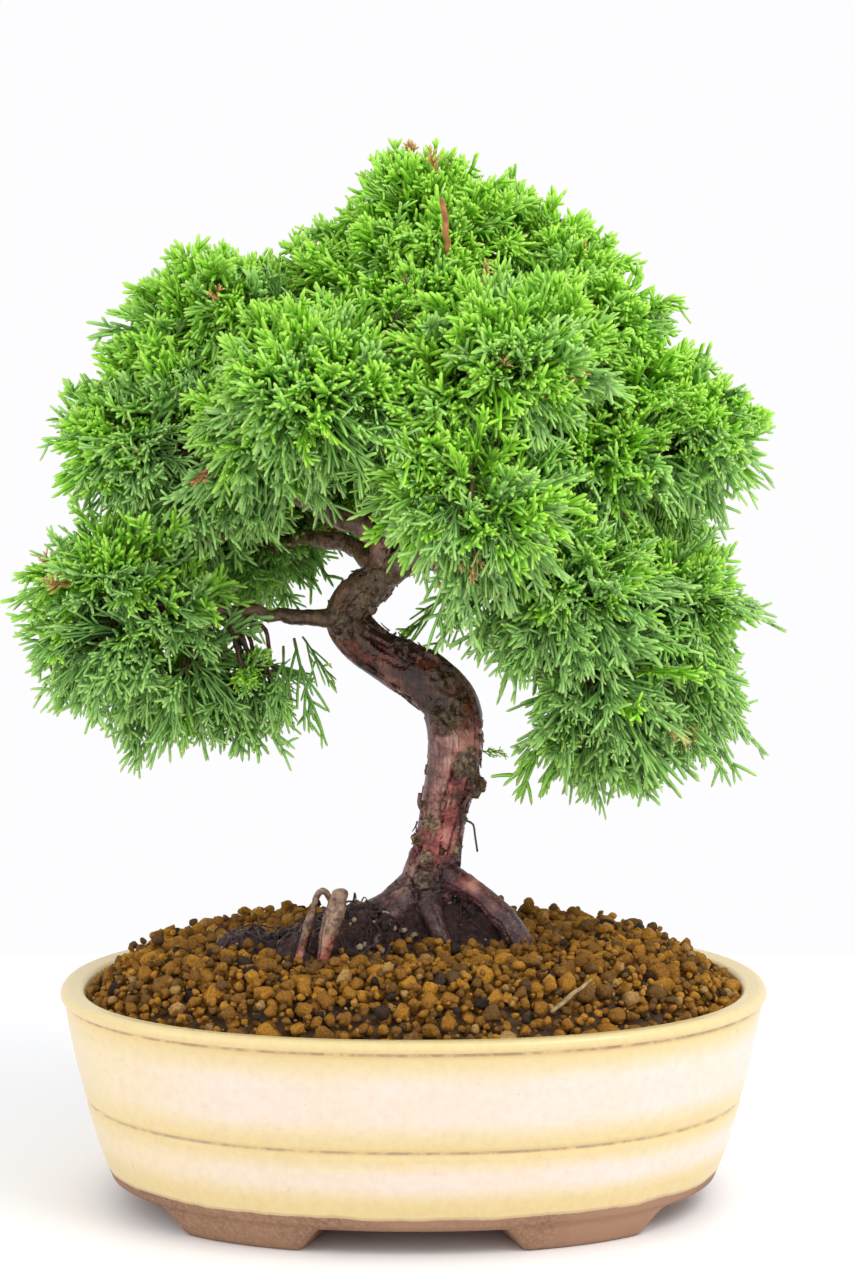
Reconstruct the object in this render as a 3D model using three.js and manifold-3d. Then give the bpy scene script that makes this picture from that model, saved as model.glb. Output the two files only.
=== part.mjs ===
// Chinese juniper bonsai in an oval, four-footed glazed pot.
// Millimetres, +Z up, +X to the right along the pot's length, +Y towards the back.
// Everything is set out from the middle of the pot's footprint; the last lines then move
// the whole tree so that the origin is the middle of its own outline, on the ground.
import * as THREE from 'three';
import { mergeVertices } from 'three/addons/utils/BufferGeometryUtils.js';
import Module from 'manifold-3d';

const wasm = await Module();
wasm.setup();

// ---- driving dimensions ----
const potLength = 200;
const potWidth = 160;
const potHeight = 61;
const potRoundness = 2.2; // exponent of the oval: 2 is an ellipse, more is squarer
const footHeight = 6.6;
const potFloorTop = 12;
const footGapLong = 30.5; // half the gap between the feet, along the pot's length
const footGapWide = 45; // half the gap between the feet, across the pot
const footSlope = 5; // how far a foot's end leans in from top to bottom
const holeRadius = 10;
const holeSpacing = 40; // from the pot's middle to each drainage hole
const soilEdgeHeight = 58.6;
const soilRise = 15.6;
const clearance = 0.3; // gap kept between touching pieces

// ---- solids ----

/** Turns a closed three.js geometry into a solid that can be joined and cut. */
function solid(geometry) {
  const bare = geometry.clone();
  bare.deleteAttribute('normal');
  bare.deleteAttribute('uv');
  const merged = mergeVertices(bare, 1e-4);
  return new wasm.Manifold(new wasm.Mesh({
    numProp: 3,
    vertProperties: new Float32Array(merged.attributes.position.array),
    triVerts: new Uint32Array(merged.index.array),
  }));
}

/** Turns a solid back into a three.js geometry. */
function geometryOf(body) {
  const mesh = body.getMesh();
  const geometry = new THREE.BufferGeometry();
  geometry.setAttribute('position', new THREE.BufferAttribute(new Float32Array(mesh.vertProperties), 3));
  geometry.setIndex(new THREE.BufferAttribute(new Uint32Array(mesh.triVerts), 1));
  geometry.computeVertexNormals();
  return geometry;
}

function join(solids) {
  return solids.reduce((whole, piece) => whole.add(piece));
}

function cut(body, tools) {
  return tools.reduce((rest, tool) => rest.subtract(tool), body);
}

/** The largest connected lump of a solid, without the crumbs a cut can leave. */
function largest(body) {
  return body.decompose().reduce((best, lump) => (lump.volume() > best.volume() ? lump : best));
}

// ---- the pot's oval ----

function ovalHalfWidth(halfLength) {
  const narrowing = (potLength - potWidth) / 2;
  return halfLength - narrowing * Math.min(1, halfLength / 60);
}

/** A solid of the pot's oval plan, from a profile of [half length, height] points. */
function ovalTurned(profile, segments = 36) {
  const points = profile.map(([r, z]) => new THREE.Vector2(r, z));
  const geometry = new THREE.LatheGeometry(points, segments);
  geometry.rotateX(Math.PI / 2);
  const place = geometry.attributes.position;
  const power = 2 / potRoundness;
  for (let i = 0; i < place.count; i += 1) {
    const r = Math.hypot(place.getX(i), place.getY(i));
    const c = r > 1e-9 ? place.getX(i) / r : 0;
    const s = r > 1e-9 ? place.getY(i) / r : 0;
    place.setX(i, r * Math.sign(c) * Math.abs(c) ** power);
    place.setY(i, ovalHalfWidth(r) * Math.sign(s) * Math.abs(s) ** power);
  }
  const body = solid(geometry);
  return body;
}

/** A channel under the pot whose ends lean, running along one axis. */
function footChannel(halfGap, turn) {
  const outline = new THREE.Shape([
    new THREE.Vector2(-halfGap - 1, -1),
    new THREE.Vector2(halfGap + 1, -1),
    new THREE.Vector2(halfGap - footSlope, footHeight + 1),
    new THREE.Vector2(-halfGap + footSlope, footHeight + 1),
  ]);
  const geometry = new THREE.ExtrudeGeometry(outline, { depth: potLength * 1.2, bevelEnabled: false });
  geometry.translate(0, 0, -potLength * 0.6);
  geometry.rotateX(Math.PI / 2);
  geometry.rotateZ(turn);
  return solid(geometry);
}

function cylinderUpright(radius, low, high, x, y) {
  const geometry = new THREE.CylinderGeometry(radius, radius, high - low, 24);
  geometry.rotateX(Math.PI / 2);
  geometry.translate(x, y, (low + high) / 2);
  return solid(geometry);
}

function makePot() {
  const shell = ovalTurned([
    [0, footHeight],
    [85.6, footHeight],
    [87.6, 10],
    [90.6, 20],
    [92.4, 29],
    [93.2, 31],
    [97.4, 46],
    [99.2, 56.6],
    [100, 58.6],
    [99.4, 60.4],
    [97, potHeight],
    [94.4, 60.6],
    [93.2, soilEdgeHeight],
    [91.4, 46],
    [86, 24],
    [81, 14],
    [76, potFloorTop],
    [0, potFloorTop],
  ]);
  const feet = ovalTurned([
    [68, 0],
    [83.5, 0],
    [85.4, footHeight + 0.4],
    [66, footHeight + 0.4],
    [68, 0],
  ]);
  const channels = [footChannel(footGapLong, 0), footChannel(footGapWide, Math.PI / 2)];
  const holes = [-holeSpacing, holeSpacing].map((x) => cylinderUpright(holeRadius, 0, 20, x, 0));
  return cut(shell.add(cut(feet, channels)), holes);
}

// ---- drainage screens and their wire clips ----
const screenSize = 26;
const screenThickness = 1.2;
const screenBars = 4;
const screenBarWidth = 2;
const clipWireRadius = 0.7;

function block(width, depth, height, x, y, z) {
  const geometry = new THREE.BoxGeometry(width, depth, height);
  geometry.translate(x, y, z);
  return solid(geometry);
}

function makeScreen(x) {
  const z = potFloorTop + clearance + screenThickness / 2;
  const sheet = block(screenSize, screenSize, screenThickness, x, 0, z);
  const pitch = (screenSize - screenBarWidth) / (screenBars - 1);
  const opening = pitch - screenBarWidth;
  const first = (-(screenBars - 2) / 2) * pitch;
  const openings = [];
  for (let column = 0; column < screenBars - 1; column += 1) {
    for (let row = 0; row < screenBars - 1; row += 1) {
      openings.push(block(opening, opening, screenThickness * 2, x + first + column * pitch, first + row * pitch, z));
    }
  }
  return cut(sheet, openings);
}

/** The room that a screen and the top of its clip take up in the soil. */
function screenRoom(x) {
  return block(screenSize + 1, screenSize + 1, 12, x, 0, potFloorTop);
}

/**
 * A tapered limb along a smooth path through [x, y, z, radius] points.
 * A hair-thin section is extruded along the path, then each ring is pushed out to the
 * limb's radius there.
 */
function limb(stations, steps, sides, grow = 0) {
  const hair = 0.1;
  const path = new THREE.CatmullRomCurve3(stations.map(([x, y, z]) => new THREE.Vector3(x, y, z)));
  const girth = new THREE.CatmullRomCurve3(stations.map(([, , , r]) => new THREE.Vector3(r, 0, 0)));
  const outline = new THREE.Shape();
  outline.absarc(0, 0, hair, 0, Math.PI * 2);
  const geometry = new THREE.ExtrudeGeometry(outline, {
    steps,
    curveSegments: sides / 2, // a full circle is drawn with twice this many sides
    extrudePath: path,
    bevelEnabled: false,
  });
  const rings = path.getSpacedPoints(steps);
  const place = geometry.attributes.position;
  const point = new THREE.Vector3();
  for (let i = 0; i < place.count; i += 1) {
    point.fromBufferAttribute(place, i);
    let near = 0;
    rings.forEach((ring, n) => {
      if (ring.distanceToSquared(point) < rings[near].distanceToSquared(point)) near = n;
    });
    const radius = girth.getPoint(path.getUtoTmapping(near / steps)).x + grow;
    point.sub(rings[near]).multiplyScalar(radius / hair).add(rings[near]);
    place.setXYZ(i, point.x, point.y, point.z);
  }
  return solid(geometry);
}

function makeClip(x) {
  const leg = 7.8;
  const hook = 15;
  const under = footHeight - clearance - clipWireRadius - 0.05;
  const over = potFloorTop + clearance * 2 + screenThickness + clipWireRadius + 0.3;
  const side = (s) => [
    [x + s * leg, 0, over - 1.6],
    [x + s * leg, 0, (over + under) / 2],
    [x + s * leg, 0, under + 1.4],
    [x + s * (leg + 1.2), 0, under],
    [x + s * hook, 0, under],
  ];
  const stations = [
    ...side(-1).reverse(),
    [x - leg + 1.2, 0, over],
    [x + leg - 1.2, 0, over],
    ...side(1),
  ].map((place) => [...place, clipWireRadius]);
  return limb(stations, 26, 6);
}

// ---- trunk with its surface roots ----
// Each list runs along a limb's middle line as [x, y, z, radius].
const trunkLine = [
  [2, 0, 62, 9.5],
  [3, 0, 72, 10.5],
  [3.6, 0, 82, 9.6],
  [4.8, 0, 91, 8.3],
  [6.8, -1, 101, 7.4],
  [9, -2, 112, 7.8],
  [11.4, -3, 122, 8],
  [12.2, -4, 132, 7.8],
  [10.4, -4, 140, 7.7],
  [3.6, -3, 146.6, 7.4],
  [-6, -1, 152, 7.1],
  [-14.5, 1, 157, 6.8],
  [-18.8, 2, 163.4, 6.4],
  [-15.6, 2, 170, 6.4],
  [-9.8, 1, 175.4, 5.8],
  [-8, 0, 182, 4.4],
  [-8.8, 0, 197, 3.9],
  [-7.2, 0, 217, 3.5],
  [-3, 0, 236, 2.9],
  [2, 0, 254, 2.1],
  [4, 0, 268, 1.3],
];
const rootLines = [
  [[7, -2, 94, 4.6], [17, -5, 90.5, 4.1], [25, -8, 86, 3.9], [31, -11, 79, 3.6], [34, -13, 70, 3]],
  [[1, -2, 88, 5], [-8, -4, 84.5, 3.6], [-17, -6, 80.5, 3], [-25, -8, 75, 2.2]],
  [[4, -3, 87, 5], [5, -12, 80, 3.2], [7, -20, 72, 2.2]],
  [[6, 3, 88, 5], [11, 14, 81, 3.6], [16, 25, 71, 2.4]],
  [[0, 4, 86, 5], [-8, 15, 80, 3.2], [-15, 25, 71, 2.2]],
];

function makeTrunk(grow = 0) {
  const roots = rootLines.map((line) => limb(line, 6, 8, grow));
  return join([limb(trunkLine, 38, 12, grow), ...roots]);
}

// ---- old roots that stand out of the root ball ----
const stubRootLine = [[-20, -26, 91, 2], [-21.6, -28, 86, 2.6], [-23.4, -30.5, 80, 2.5], [-25, -33, 73.5, 0.9]];
const loopRootLine = [
  [-28, -24, 72, 0.9],
  [-27.6, -24, 82, 0.9],
  [-25.8, -23.6, 88, 0.9],
  [-23.8, -23, 89.6, 0.9],
  [-22.4, -22.4, 86.8, 0.8],
];
const knobRootLine = [[-27.2, -29.5, 89, 1], [-30.2, -31, 83, 1.6], [-32, -32, 77, 1.5], [-36, -33, 71, 1.8]];

// ---- branches, each from the trunk into its own mass of shoots ----
const branchLines = {
  branch_left_low: [[-15, 1, 164.5, 3.2], [-29, -1, 166.2, 2.1], [-46, -4, 167, 1.6], [-66, -7, 168, 1.3], [-88, -8, 172, 0.9]],
  branch_left_mid: [[-8, -1, 187, 3.4], [-19, -5, 192, 2.9], [-29, -8, 197, 2.6], [-48, -8, 205, 1.8], [-80, -3, 214, 1]],
  branch_right_low: [[-10, 0, 176, 4], [2, -6, 181, 3.6], [20, -14, 181, 2.8], [40, -20, 172, 2], [50, -24, 152, 1.1]],
  branch_right_outer: [[-8, 0, 186, 3], [16, 6, 194, 2.5], [46, 6, 186, 1.9], [76, 3, 166, 1.1]],
  branch_right_shoulder: [[-8, 0, 204, 2.8], [18, 3, 212, 2.2], [48, 3, 215, 1.7], [80, 0, 219, 1]],
  branch_front_low: [[-8, -1, 192, 2.6], [2, -22, 195, 2.1], [10, -40, 196, 1.5], [18, -58, 196, 0.9]],
  branch_front_left: [[-7, -1, 212, 2.6], [-14, -16, 220, 2], [-22, -30, 227, 1.5], [-32, -44, 231, 0.9]],
  branch_front_right: [[-5, -1, 222, 2.4], [6, -16, 230, 1.9], [16, -30, 236, 1.4], [27, -46, 240, 0.9]],
  branch_top_left: [[-4, 0, 232, 2.2], [-22, 4, 244, 1.8], [-42, 8, 252, 1.3], [-64, 10, 257, 0.9]],
  branch_top_right: [[-2, 0, 238, 2.1], [18, 1, 248, 1.7], [38, 1, 254, 1.3], [58, 0, 258, 0.9]],
  branch_back_left: [[-9, 1, 179, 3], [-24, 16, 184, 2.3], [-42, 32, 184, 1.7], [-62, 48, 180, 1]],
  branch_back_right: [[-8, 1, 183, 3], [12, 18, 184, 2.3], [32, 34, 181, 1.7], [54, 50, 174, 1]],
  branch_back_mid: [[-9, 1, 200, 2.6], [-8, 20, 206, 2], [-6, 38, 208, 1.5], [-4, 62, 206, 0.9]],
  branch_back_top_left: [[-7, 1, 218, 2.3], [-18, 16, 230, 1.8], [-30, 30, 237, 1.3], [-42, 44, 240, 0.9]],
  branch_back_top_right: [[-5, 1, 226, 2.2], [10, 16, 234, 1.7], [24, 30, 240, 1.3], [38, 44, 242, 0.9]],
};

// ---- masses of shoots ----
// Each is one or more rounded lumps, [x, y, z, half length, half depth, half height].
// The front masses come first and keep their shape; each later one stops short of them.
const shootMasses = {
  foliage_front_left: [[-27, -38, 229, 29, 27, 25], [-40, -30, 212, 20, 20, 18]],
  foliage_front_right: [[24, -42, 238, 29, 26, 25], [10, -44, 222, 18, 18, 18]],
  foliage_front_low: [[17, -56, 195, 26, 20, 20], [4, -50, 204, 16, 16, 16]],
  foliage_right_low: [[40, -27, 171, 31, 27, 25], [50, -24, 139, 24, 21, 27]],
  foliage_left_low: [[-84, -8, 171, 28, 34, 25], [-64, -10, 141, 23, 24, 22], [-84, -8, 150, 19, 24, 17], [-46, -12, 158, 14, 16, 20]],
  foliage_crown: [[5, 2, 276, 31, 32, 20], [1, 1, 289, 15, 15, 10], [-8, 4, 262, 26, 26, 16], [0, -20, 252, 17, 16, 16]],
  foliage_top_left: [[-54, 9, 255, 28, 29, 17], [-70, 4, 242, 18, 22, 15]],
  foliage_top_right: [[50, 2, 252, 25, 31, 22], [37, 4, 266, 17, 22, 13]],
  foliage_left_shoulder: [[-80, 2, 213, 24, 32, 20], [-64, 4, 228, 20, 26, 16], [-58, 0, 200, 22, 24, 16]],
  foliage_right_shoulder: [[74, 2, 217, 27.5, 34, 20], [56, 0, 228, 22, 28, 18], [46, -20, 209, 21, 20, 19]],
  foliage_right_outer: [[80, 4, 168, 22, 32, 24], [84, 2, 138, 16, 24, 27]],
  foliage_back_left: [[-58, 48, 180, 34, 30, 22], [-46, 52, 196, 24, 26, 16]],
  foliage_back_right: [[50, 50, 176, 34, 30, 24], [62, 46, 192, 22, 26, 18]],
  foliage_back_mid: [[-4, 60, 206, 34, 26, 25]],
  foliage_back_top_left: [[-38, 42, 238, 31, 28, 24]],
  foliage_back_top_right: [[36, 42, 240, 32, 28, 25]],
};

/** One rounded lump with shallow hollows, so that no two look alike. */
function lump([x, y, z, a, b, c], grow, detail) {
  const geometry = new THREE.IcosahedronGeometry(1, detail);
  const place = geometry.attributes.position;
  const way = new THREE.Vector3();
  for (let i = 0; i < place.count; i += 1) {
    way.fromBufferAttribute(place, i);
    const swell = 1 + 0.05 * Math.sin(5 * way.x + x) * Math.sin(5 * way.y + y) + 0.04 * Math.sin(7 * way.z + z);
    place.setXYZ(
      i,
      x + way.x * (a * swell + grow),
      y + way.y * (b * swell + grow),
      z + way.z * (c * swell + grow),
    );
  }
  return solid(geometry);
}

/** The first lump of a mass is its main one and is drawn more finely than the others. */
function makeShootMass(lumps, grow = 0) {
  return join(lumps.map((one, n) => lump(one, grow, n === 0 ? 2 : 1)));
}

// ---- soil and root ball ----

/** Height of the heaped soil, where share is 0 over the middle and 1 at the pot's wall. */
function soilHeight(share) {
  return soilEdgeHeight + soilRise * (1 - share ** 6);
}

function makeSoilHeap() {
  const inset = clearance;
  const top = [0.96, 0.88, 0.78, 0.6, 0.3].map((share) => [share * 93, soilHeight(share)]);
  return ovalTurned([
    [0, potFloorTop + inset],
    [76 - inset, potFloorTop + inset],
    [81 - inset, 14 + inset],
    [86 - inset, 24],
    [91.4 - inset, 46],
    [93.2 - inset * 1.5, soilEdgeHeight],
    ...top,
    [0, soilHeight(0)],
  ]);
}

const rootBallLumps = [
  [-12, -5, 55, 48, 38, 22.5],
  [-34, -12, 68, 20, 17, 10],
];

function makeFallenTwig() {
  return limb([[37, -68, 66.6, 0.7], [41.5, -63, 69.8, 0.7], [46.5, -58, 73, 0.5]], 5, 6);
}

// ---- assembly ----

const bonsai = new THREE.Group();

function addPiece(name, body, colour, roughness, metalness = 0) {
  const material = new THREE.MeshStandardMaterial({ color: colour, roughness, metalness });
  const mesh = new THREE.Mesh(geometryOf(body), material);
  mesh.name = name;
  bonsai.add(mesh);
}

const glazeCream = 0xe9dfb4;
const meshGreen = 0x26332a;
const wireGrey = 0x9a9a98;
const soilOchre = 0x8a6238;
const peatBrown = 0x2e211a;
const barkBrown = 0x5b3a30;
const strawTan = 0xb08e5a;
const leafGreen = 0x4f9a2e;

addPiece('pot', makePot(), glazeCream, 0.3);

const sides = { left: -holeSpacing, right: holeSpacing };
for (const [side, x] of Object.entries(sides)) {
  addPiece(`drainage_screen_${side}`, makeScreen(x), meshGreen, 0.6);
  addPiece(`screen_clip_${side}`, makeClip(x), wireGrey, 0.4, 1);
}

const trunk = makeTrunk();
const trunkRoom = makeTrunk(clearance);
const oldRoots = { root_stub: stubRootLine, root_loop: loopRootLine, root_knob: knobRootLine };
const oldRootSolids = Object.entries(oldRoots).map(([name, line]) => [name, limb(line, 6, 6)]);
const oldRootRooms = Object.values(oldRoots).map((line) => limb(line, 6, 6, clearance));
const rootBall = makeShootMass(rootBallLumps);
const rootBallRoom = makeShootMass(rootBallLumps, clearance);
const screenRooms = Object.values(sides).map(screenRoom);

addPiece('soil', largest(cut(makeSoilHeap(), [rootBallRoom, trunkRoom, ...oldRootRooms, ...screenRooms])), soilOchre, 0.95);
addPiece('root_ball', largest(cut(rootBall, [trunkRoom, ...oldRootRooms])), peatBrown, 0.95);
addPiece('trunk', trunk, barkBrown, 0.7);
oldRootSolids.forEach(([name, body]) => addPiece(name, body, barkBrown, 0.8));
addPiece('fallen_twig', makeFallenTwig(), strawTan, 0.8);

// A branch is cut back where it leaves the trunk, and from the branches already placed.
const woodRooms = [trunkRoom];
for (const [name, line] of Object.entries(branchLines)) {
  addPiece(name, largest(cut(limb(line, 7, 6), woodRooms)), barkBrown, 0.75);
  woodRooms.push(limb(line, 7, 6, clearance));
}

// A mass of shoots is cut back from the wood in it and from the masses already placed.
const massRooms = [];
for (const [name, lumps] of Object.entries(shootMasses)) {
  addPiece(name, largest(cut(makeShootMass(lumps), [...woodRooms, ...massRooms])), leafGreen, 0.6);
  massRooms.push(makeShootMass(lumps, clearance));
}

// Stand the tree over the middle of its own outline.
const outline = new THREE.Box3().setFromObject(bonsai);
const middle = outline.getCenter(new THREE.Vector3());
bonsai.position.set(-middle.x, -middle.y, 0);

export default bonsai;
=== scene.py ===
import math

import bmesh
import bpy
import numpy as np
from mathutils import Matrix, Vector


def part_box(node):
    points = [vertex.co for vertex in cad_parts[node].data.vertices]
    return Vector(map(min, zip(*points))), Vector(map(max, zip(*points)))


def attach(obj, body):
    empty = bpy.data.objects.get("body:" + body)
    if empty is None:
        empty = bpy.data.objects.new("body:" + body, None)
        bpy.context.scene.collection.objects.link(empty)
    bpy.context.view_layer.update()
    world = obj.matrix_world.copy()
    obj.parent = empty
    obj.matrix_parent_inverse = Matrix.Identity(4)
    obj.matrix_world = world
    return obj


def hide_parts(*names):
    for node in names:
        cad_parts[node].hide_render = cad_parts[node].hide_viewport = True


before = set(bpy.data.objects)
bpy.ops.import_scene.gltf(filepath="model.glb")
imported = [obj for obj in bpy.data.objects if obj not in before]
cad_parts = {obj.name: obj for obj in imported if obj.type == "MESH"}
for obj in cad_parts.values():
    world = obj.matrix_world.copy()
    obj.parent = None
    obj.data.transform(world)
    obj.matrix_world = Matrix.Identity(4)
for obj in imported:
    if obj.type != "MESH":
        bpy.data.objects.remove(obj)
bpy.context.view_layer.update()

MM = 0.001

# ---------------------------------------------------------------- where the tree stands
# Every piece is laid out in millimetres from the middle of the pot, at the height of the
# table, and goes into the frame through in_frame().
pot_low, pot_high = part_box("pot")
pot_middle = np.array([(pot_low.x + pot_high.x) / 2, (pot_low.y + pot_high.y) / 2, 0.0])


def in_frame(points):
    return np.asarray(points, float) * MM + pot_middle


def from_frame(points):
    return (np.asarray(points, float) - pot_middle) / MM


# The viewpoint: a lens a little above the pot's rim height, tipped slightly down, from 0.8 m.
view_side, view_distance, view_height = 3.8, 815.5, 232.6
view_tilt = 0.091
lens = bpy.data.cameras.new("viewpoint")
lens.lens = 81.6
lens.sensor_width = 36
lens.clip_start = 0.05
viewpoint = bpy.data.objects.new("viewpoint", lens)
viewpoint.location = in_frame([view_side, -view_distance, view_height])
viewpoint.rotation_euler = (math.pi / 2 - view_tilt, 0, 0)
bpy.context.collection.objects.link(viewpoint)
bpy.context.scene.camera = viewpoint
bpy.context.scene.view_settings.view_transform = "Standard"

# ---------------------------------------------------------------- table and light
# A plain pale table top under a white studio sky, one large softbox overhead to the right,
# and a weaker one from the left.
sky = bpy.data.worlds.new("white_studio")
sky.use_nodes = True
sky.node_tree.nodes["Background"].inputs["Color"].default_value = (0.985, 0.985, 1.0, 1)
sky.node_tree.nodes["Background"].inputs["Strength"].default_value = 1.0
bpy.context.scene.world = sky


def softbox(name, place, aim, size, power, colour=(1, 1, 1)):
    light = bpy.data.lights.new(name, "AREA")
    light.shape = "RECTANGLE"
    light.size, light.size_y = size
    light.energy = power
    light.color = colour
    box = bpy.data.objects.new(name, light)
    box.location = in_frame(place)
    box.rotation_euler = (Vector(in_frame(aim)) - box.location).to_track_quat("-Z", "Y").to_euler()
    bpy.context.collection.objects.link(box)


softbox("overhead_softbox", (430, -380, 720), (0, 0, 150), (0.5, 0.5), 3.8, (1.0, 0.99, 0.97))
softbox("left_softbox", (-620, -300, 300), (0, 0, 130), (0.3, 0.5), 0.9, (0.98, 0.98, 1.0))


def new_mesh_object(name, mesh):
    piece = bpy.data.objects.new(name, mesh)
    bpy.context.collection.objects.link(piece)
    return piece


class Look:
    """One material: its shader, and short ways to add the steps that feed it."""

    def __init__(self, name):
        self.material = bpy.data.materials.new(name)
        self.material.use_nodes = True
        self.nodes = self.material.node_tree.nodes
        self.shader = self.nodes["Principled BSDF"]

    def feed(self, socket, value):
        """Gives a socket a fixed value, or what another step makes."""
        if isinstance(value, bpy.types.NodeSocket):
            self.material.node_tree.links.new(value, socket)
        else:
            socket.default_value = (*value, 1) if socket.type == "RGBA" else value

    def set(self, name, value):
        self.feed(self.shader.inputs[name], value)

    def step(self, kind, output, inputs):
        """Adds one step with these inputs, and gives its output."""
        node = self.nodes.new("ShaderNode" + kind)
        for name, value in inputs.items():
            self.feed(node.inputs[name], value)
        return node.outputs[output]

    def place(self):
        """The place in the frame, and the height above the table."""
        place = self.step("TexCoord", "Object", {})
        return place, self.step("SeparateXYZ", "Z", {0: place})

    def stored(self, name):
        """The number kept on the mesh's points under this name."""
        value = self.nodes.new("ShaderNodeAttribute")
        value.attribute_name = name
        return value.outputs["Fac"]

    def noise(self, place, scale, detail=4.0, roughness=0.55):
        settings = {"Vector": place, "Scale": scale, "Detail": detail, "Roughness": roughness}
        return self.step("TexNoise", "Fac", settings)

    def tones(self, value, *stops):
        """Turns a value into a colour through stops of (value, red, green, blue)."""
        ramp = self.nodes.new("ShaderNodeValToRGB")
        parts = ramp.color_ramp.elements
        while len(parts) < len(stops):
            parts.new(0.5)
        for part, (place, *colour) in zip(parts, stops):
            part.position = place
            part.color = (*colour, 1)
        self.feed(ramp.inputs["Fac"], value)
        return ramp.outputs["Color"]

    def slope(self, value, low, high, start=0.0, end=1.0):
        """Turns a value into start below low, end above high, and a slope between."""
        span = self.nodes.new("ShaderNodeMapRange")
        span.interpolation_type = "SMOOTHSTEP"
        inputs = zip(("Value", "From Min", "From Max", "To Min", "To Max"), (value, low, high, start, end))
        for name, given in inputs:
            self.feed(span.inputs[name], given)
        return span.outputs["Result"]

    def band(self, value, rise_from, rise_to, fall_from, fall_to):
        """1 between two slopes, 0 outside them, all four given in millimetres."""
        rise = self.slope(value, rise_from * MM, rise_to * MM)
        return self.product(rise, self.slope(value, fall_from * MM, fall_to * MM, 1, 0))

    def work(self, kind, first, second):
        sums = self.nodes.new("ShaderNodeMath")
        sums.operation = kind
        self.feed(sums.inputs[0], first)
        self.feed(sums.inputs[1], second)
        return sums.outputs["Value"]

    def total(self, first, second):
        return self.work("ADD", first, second)

    def less(self, first, second):
        return self.work("SUBTRACT", first, second)

    def product(self, first, second):
        return self.work("MULTIPLY", first, second)

    def larger(self, first, second):
        return self.work("MAXIMUM", first, second)

    def mix(self, share, first, second, kind="MIX"):
        """Goes from the first colour to the second as the share goes from 0 to 1."""
        mix = self.nodes.new("ShaderNodeMix")
        mix.data_type = "RGBA"
        mix.blend_type = kind
        for socket, value in ((0, share), (6, first), (7, second)):
            self.feed(mix.inputs[socket], value)
        return mix.outputs[2]

    def tinted(self, share, first, second):
        """Multiplies the first colour by the second, by this share."""
        return self.mix(share, first, second, "MULTIPLY")

    def bump(self, height, strength, depth):
        """Makes the surface look raised where the height is, by up to this many millimetres."""
        settings = {"Height": height, "Strength": strength, "Distance": depth * MM}
        self.set("Normal", self.step("Bump", "Normal", settings))


def two_tone(name, noise_scale, noise_detail, dark, pale, roughness, bump, depth, noise_roughness=0.55):
    """A material between two colours, whose grain also stands out as a light relief."""
    look = Look(name)
    place, _ = look.place()
    grain = look.noise(place, noise_scale, noise_detail, noise_roughness)
    look.set("Base Color", look.tones(grain, (0.3, *dark), (0.7, *pale)))
    look.set("Roughness", roughness)
    look.bump(grain, bump, depth)
    return look


TABLE_RADIUS = 1.5
TABLE_BACK = 0.34
table_mesh = bpy.data.meshes.new("table_top")
table_shape = bmesh.new()
bmesh.ops.create_circle(table_shape, cap_ends=True, segments=160, radius=TABLE_RADIUS)
bmesh.ops.translate(table_shape, verts=table_shape.verts, vec=Vector((0, TABLE_BACK - TABLE_RADIUS, 0)))
table_shape.to_mesh(table_mesh)
table_shape.free()
table_top = new_mesh_object("table_top", table_mesh)
table_white = Look("white_table")
table_white.set("Base Color", (0.955, 0.955, 0.965))
table_white.set("Roughness", 0.55)
table_mesh.materials.append(table_white.material)

# ---------------------------------------------------------------- pot
# One oval stoneware pot, pressed in a mould: rolled lip, groove round the wall, four short
# feet. It is glazed cream outside and over the lip; the foot and base stay bare brown clay,
# and the glaze breaks brown under the lip and in the groove.
POT_ROUNDNESS = 2.2
WALL_STEPS = 480


def half_width(half_length):
    return half_length - 20 * np.minimum(1, half_length / 60)


def oval(half_length, angle):
    """Points of the pot's oval plan with this half length, at these angles."""
    c, s = np.cos(angle), np.sin(angle)
    power = 2 / POT_ROUNDNESS
    x = half_length * np.sign(c) * np.abs(c) ** power
    y = half_width(half_length) * np.sign(s) * np.abs(s) ** power
    return x, y


def smoothstep(low, high, x):
    t = np.clip((x - low) / (high - low), 0, 1)
    return t * t * (3 - 2 * t)


def mesh_of(name, points, faces, smooth=True):
    """A mesh from points in millimetres and an array of faces with equal corner counts."""
    mesh = bpy.data.meshes.new(name)
    faces = np.asarray(faces)
    corners = faces.shape[1]
    mesh.vertices.add(len(points))
    mesh.vertices.foreach_set("co", in_frame(points).astype(np.float32).ravel())
    mesh.loops.add(faces.size)
    mesh.loops.foreach_set("vertex_index", faces.astype(np.int32).ravel())
    mesh.polygons.add(len(faces))
    mesh.polygons.foreach_set("loop_start", np.arange(0, faces.size, corners, dtype=np.int32))
    mesh.polygons.foreach_set("use_smooth", np.full(len(faces), smooth))
    mesh.update(calc_edges=True)
    return mesh


def arc(middle, radius, start, end, steps):
    """Points along a round in the profile, angles in degrees."""
    turn = np.radians(np.linspace(start, end, steps))
    return [(middle[0] + radius * math.cos(a), middle[1] + radius * math.sin(a)) for a in turn]


def along(start, end, steps, bulge=0.0):
    """Points on a nearly straight stretch of the profile, without its end."""
    t = np.linspace(0, 1, steps, endpoint=False)
    x = start[0] + (end[0] - start[0]) * t + bulge * np.sin(np.pi * t)
    z = start[1] + (end[1] - start[1]) * t
    return list(zip(x, z))


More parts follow.
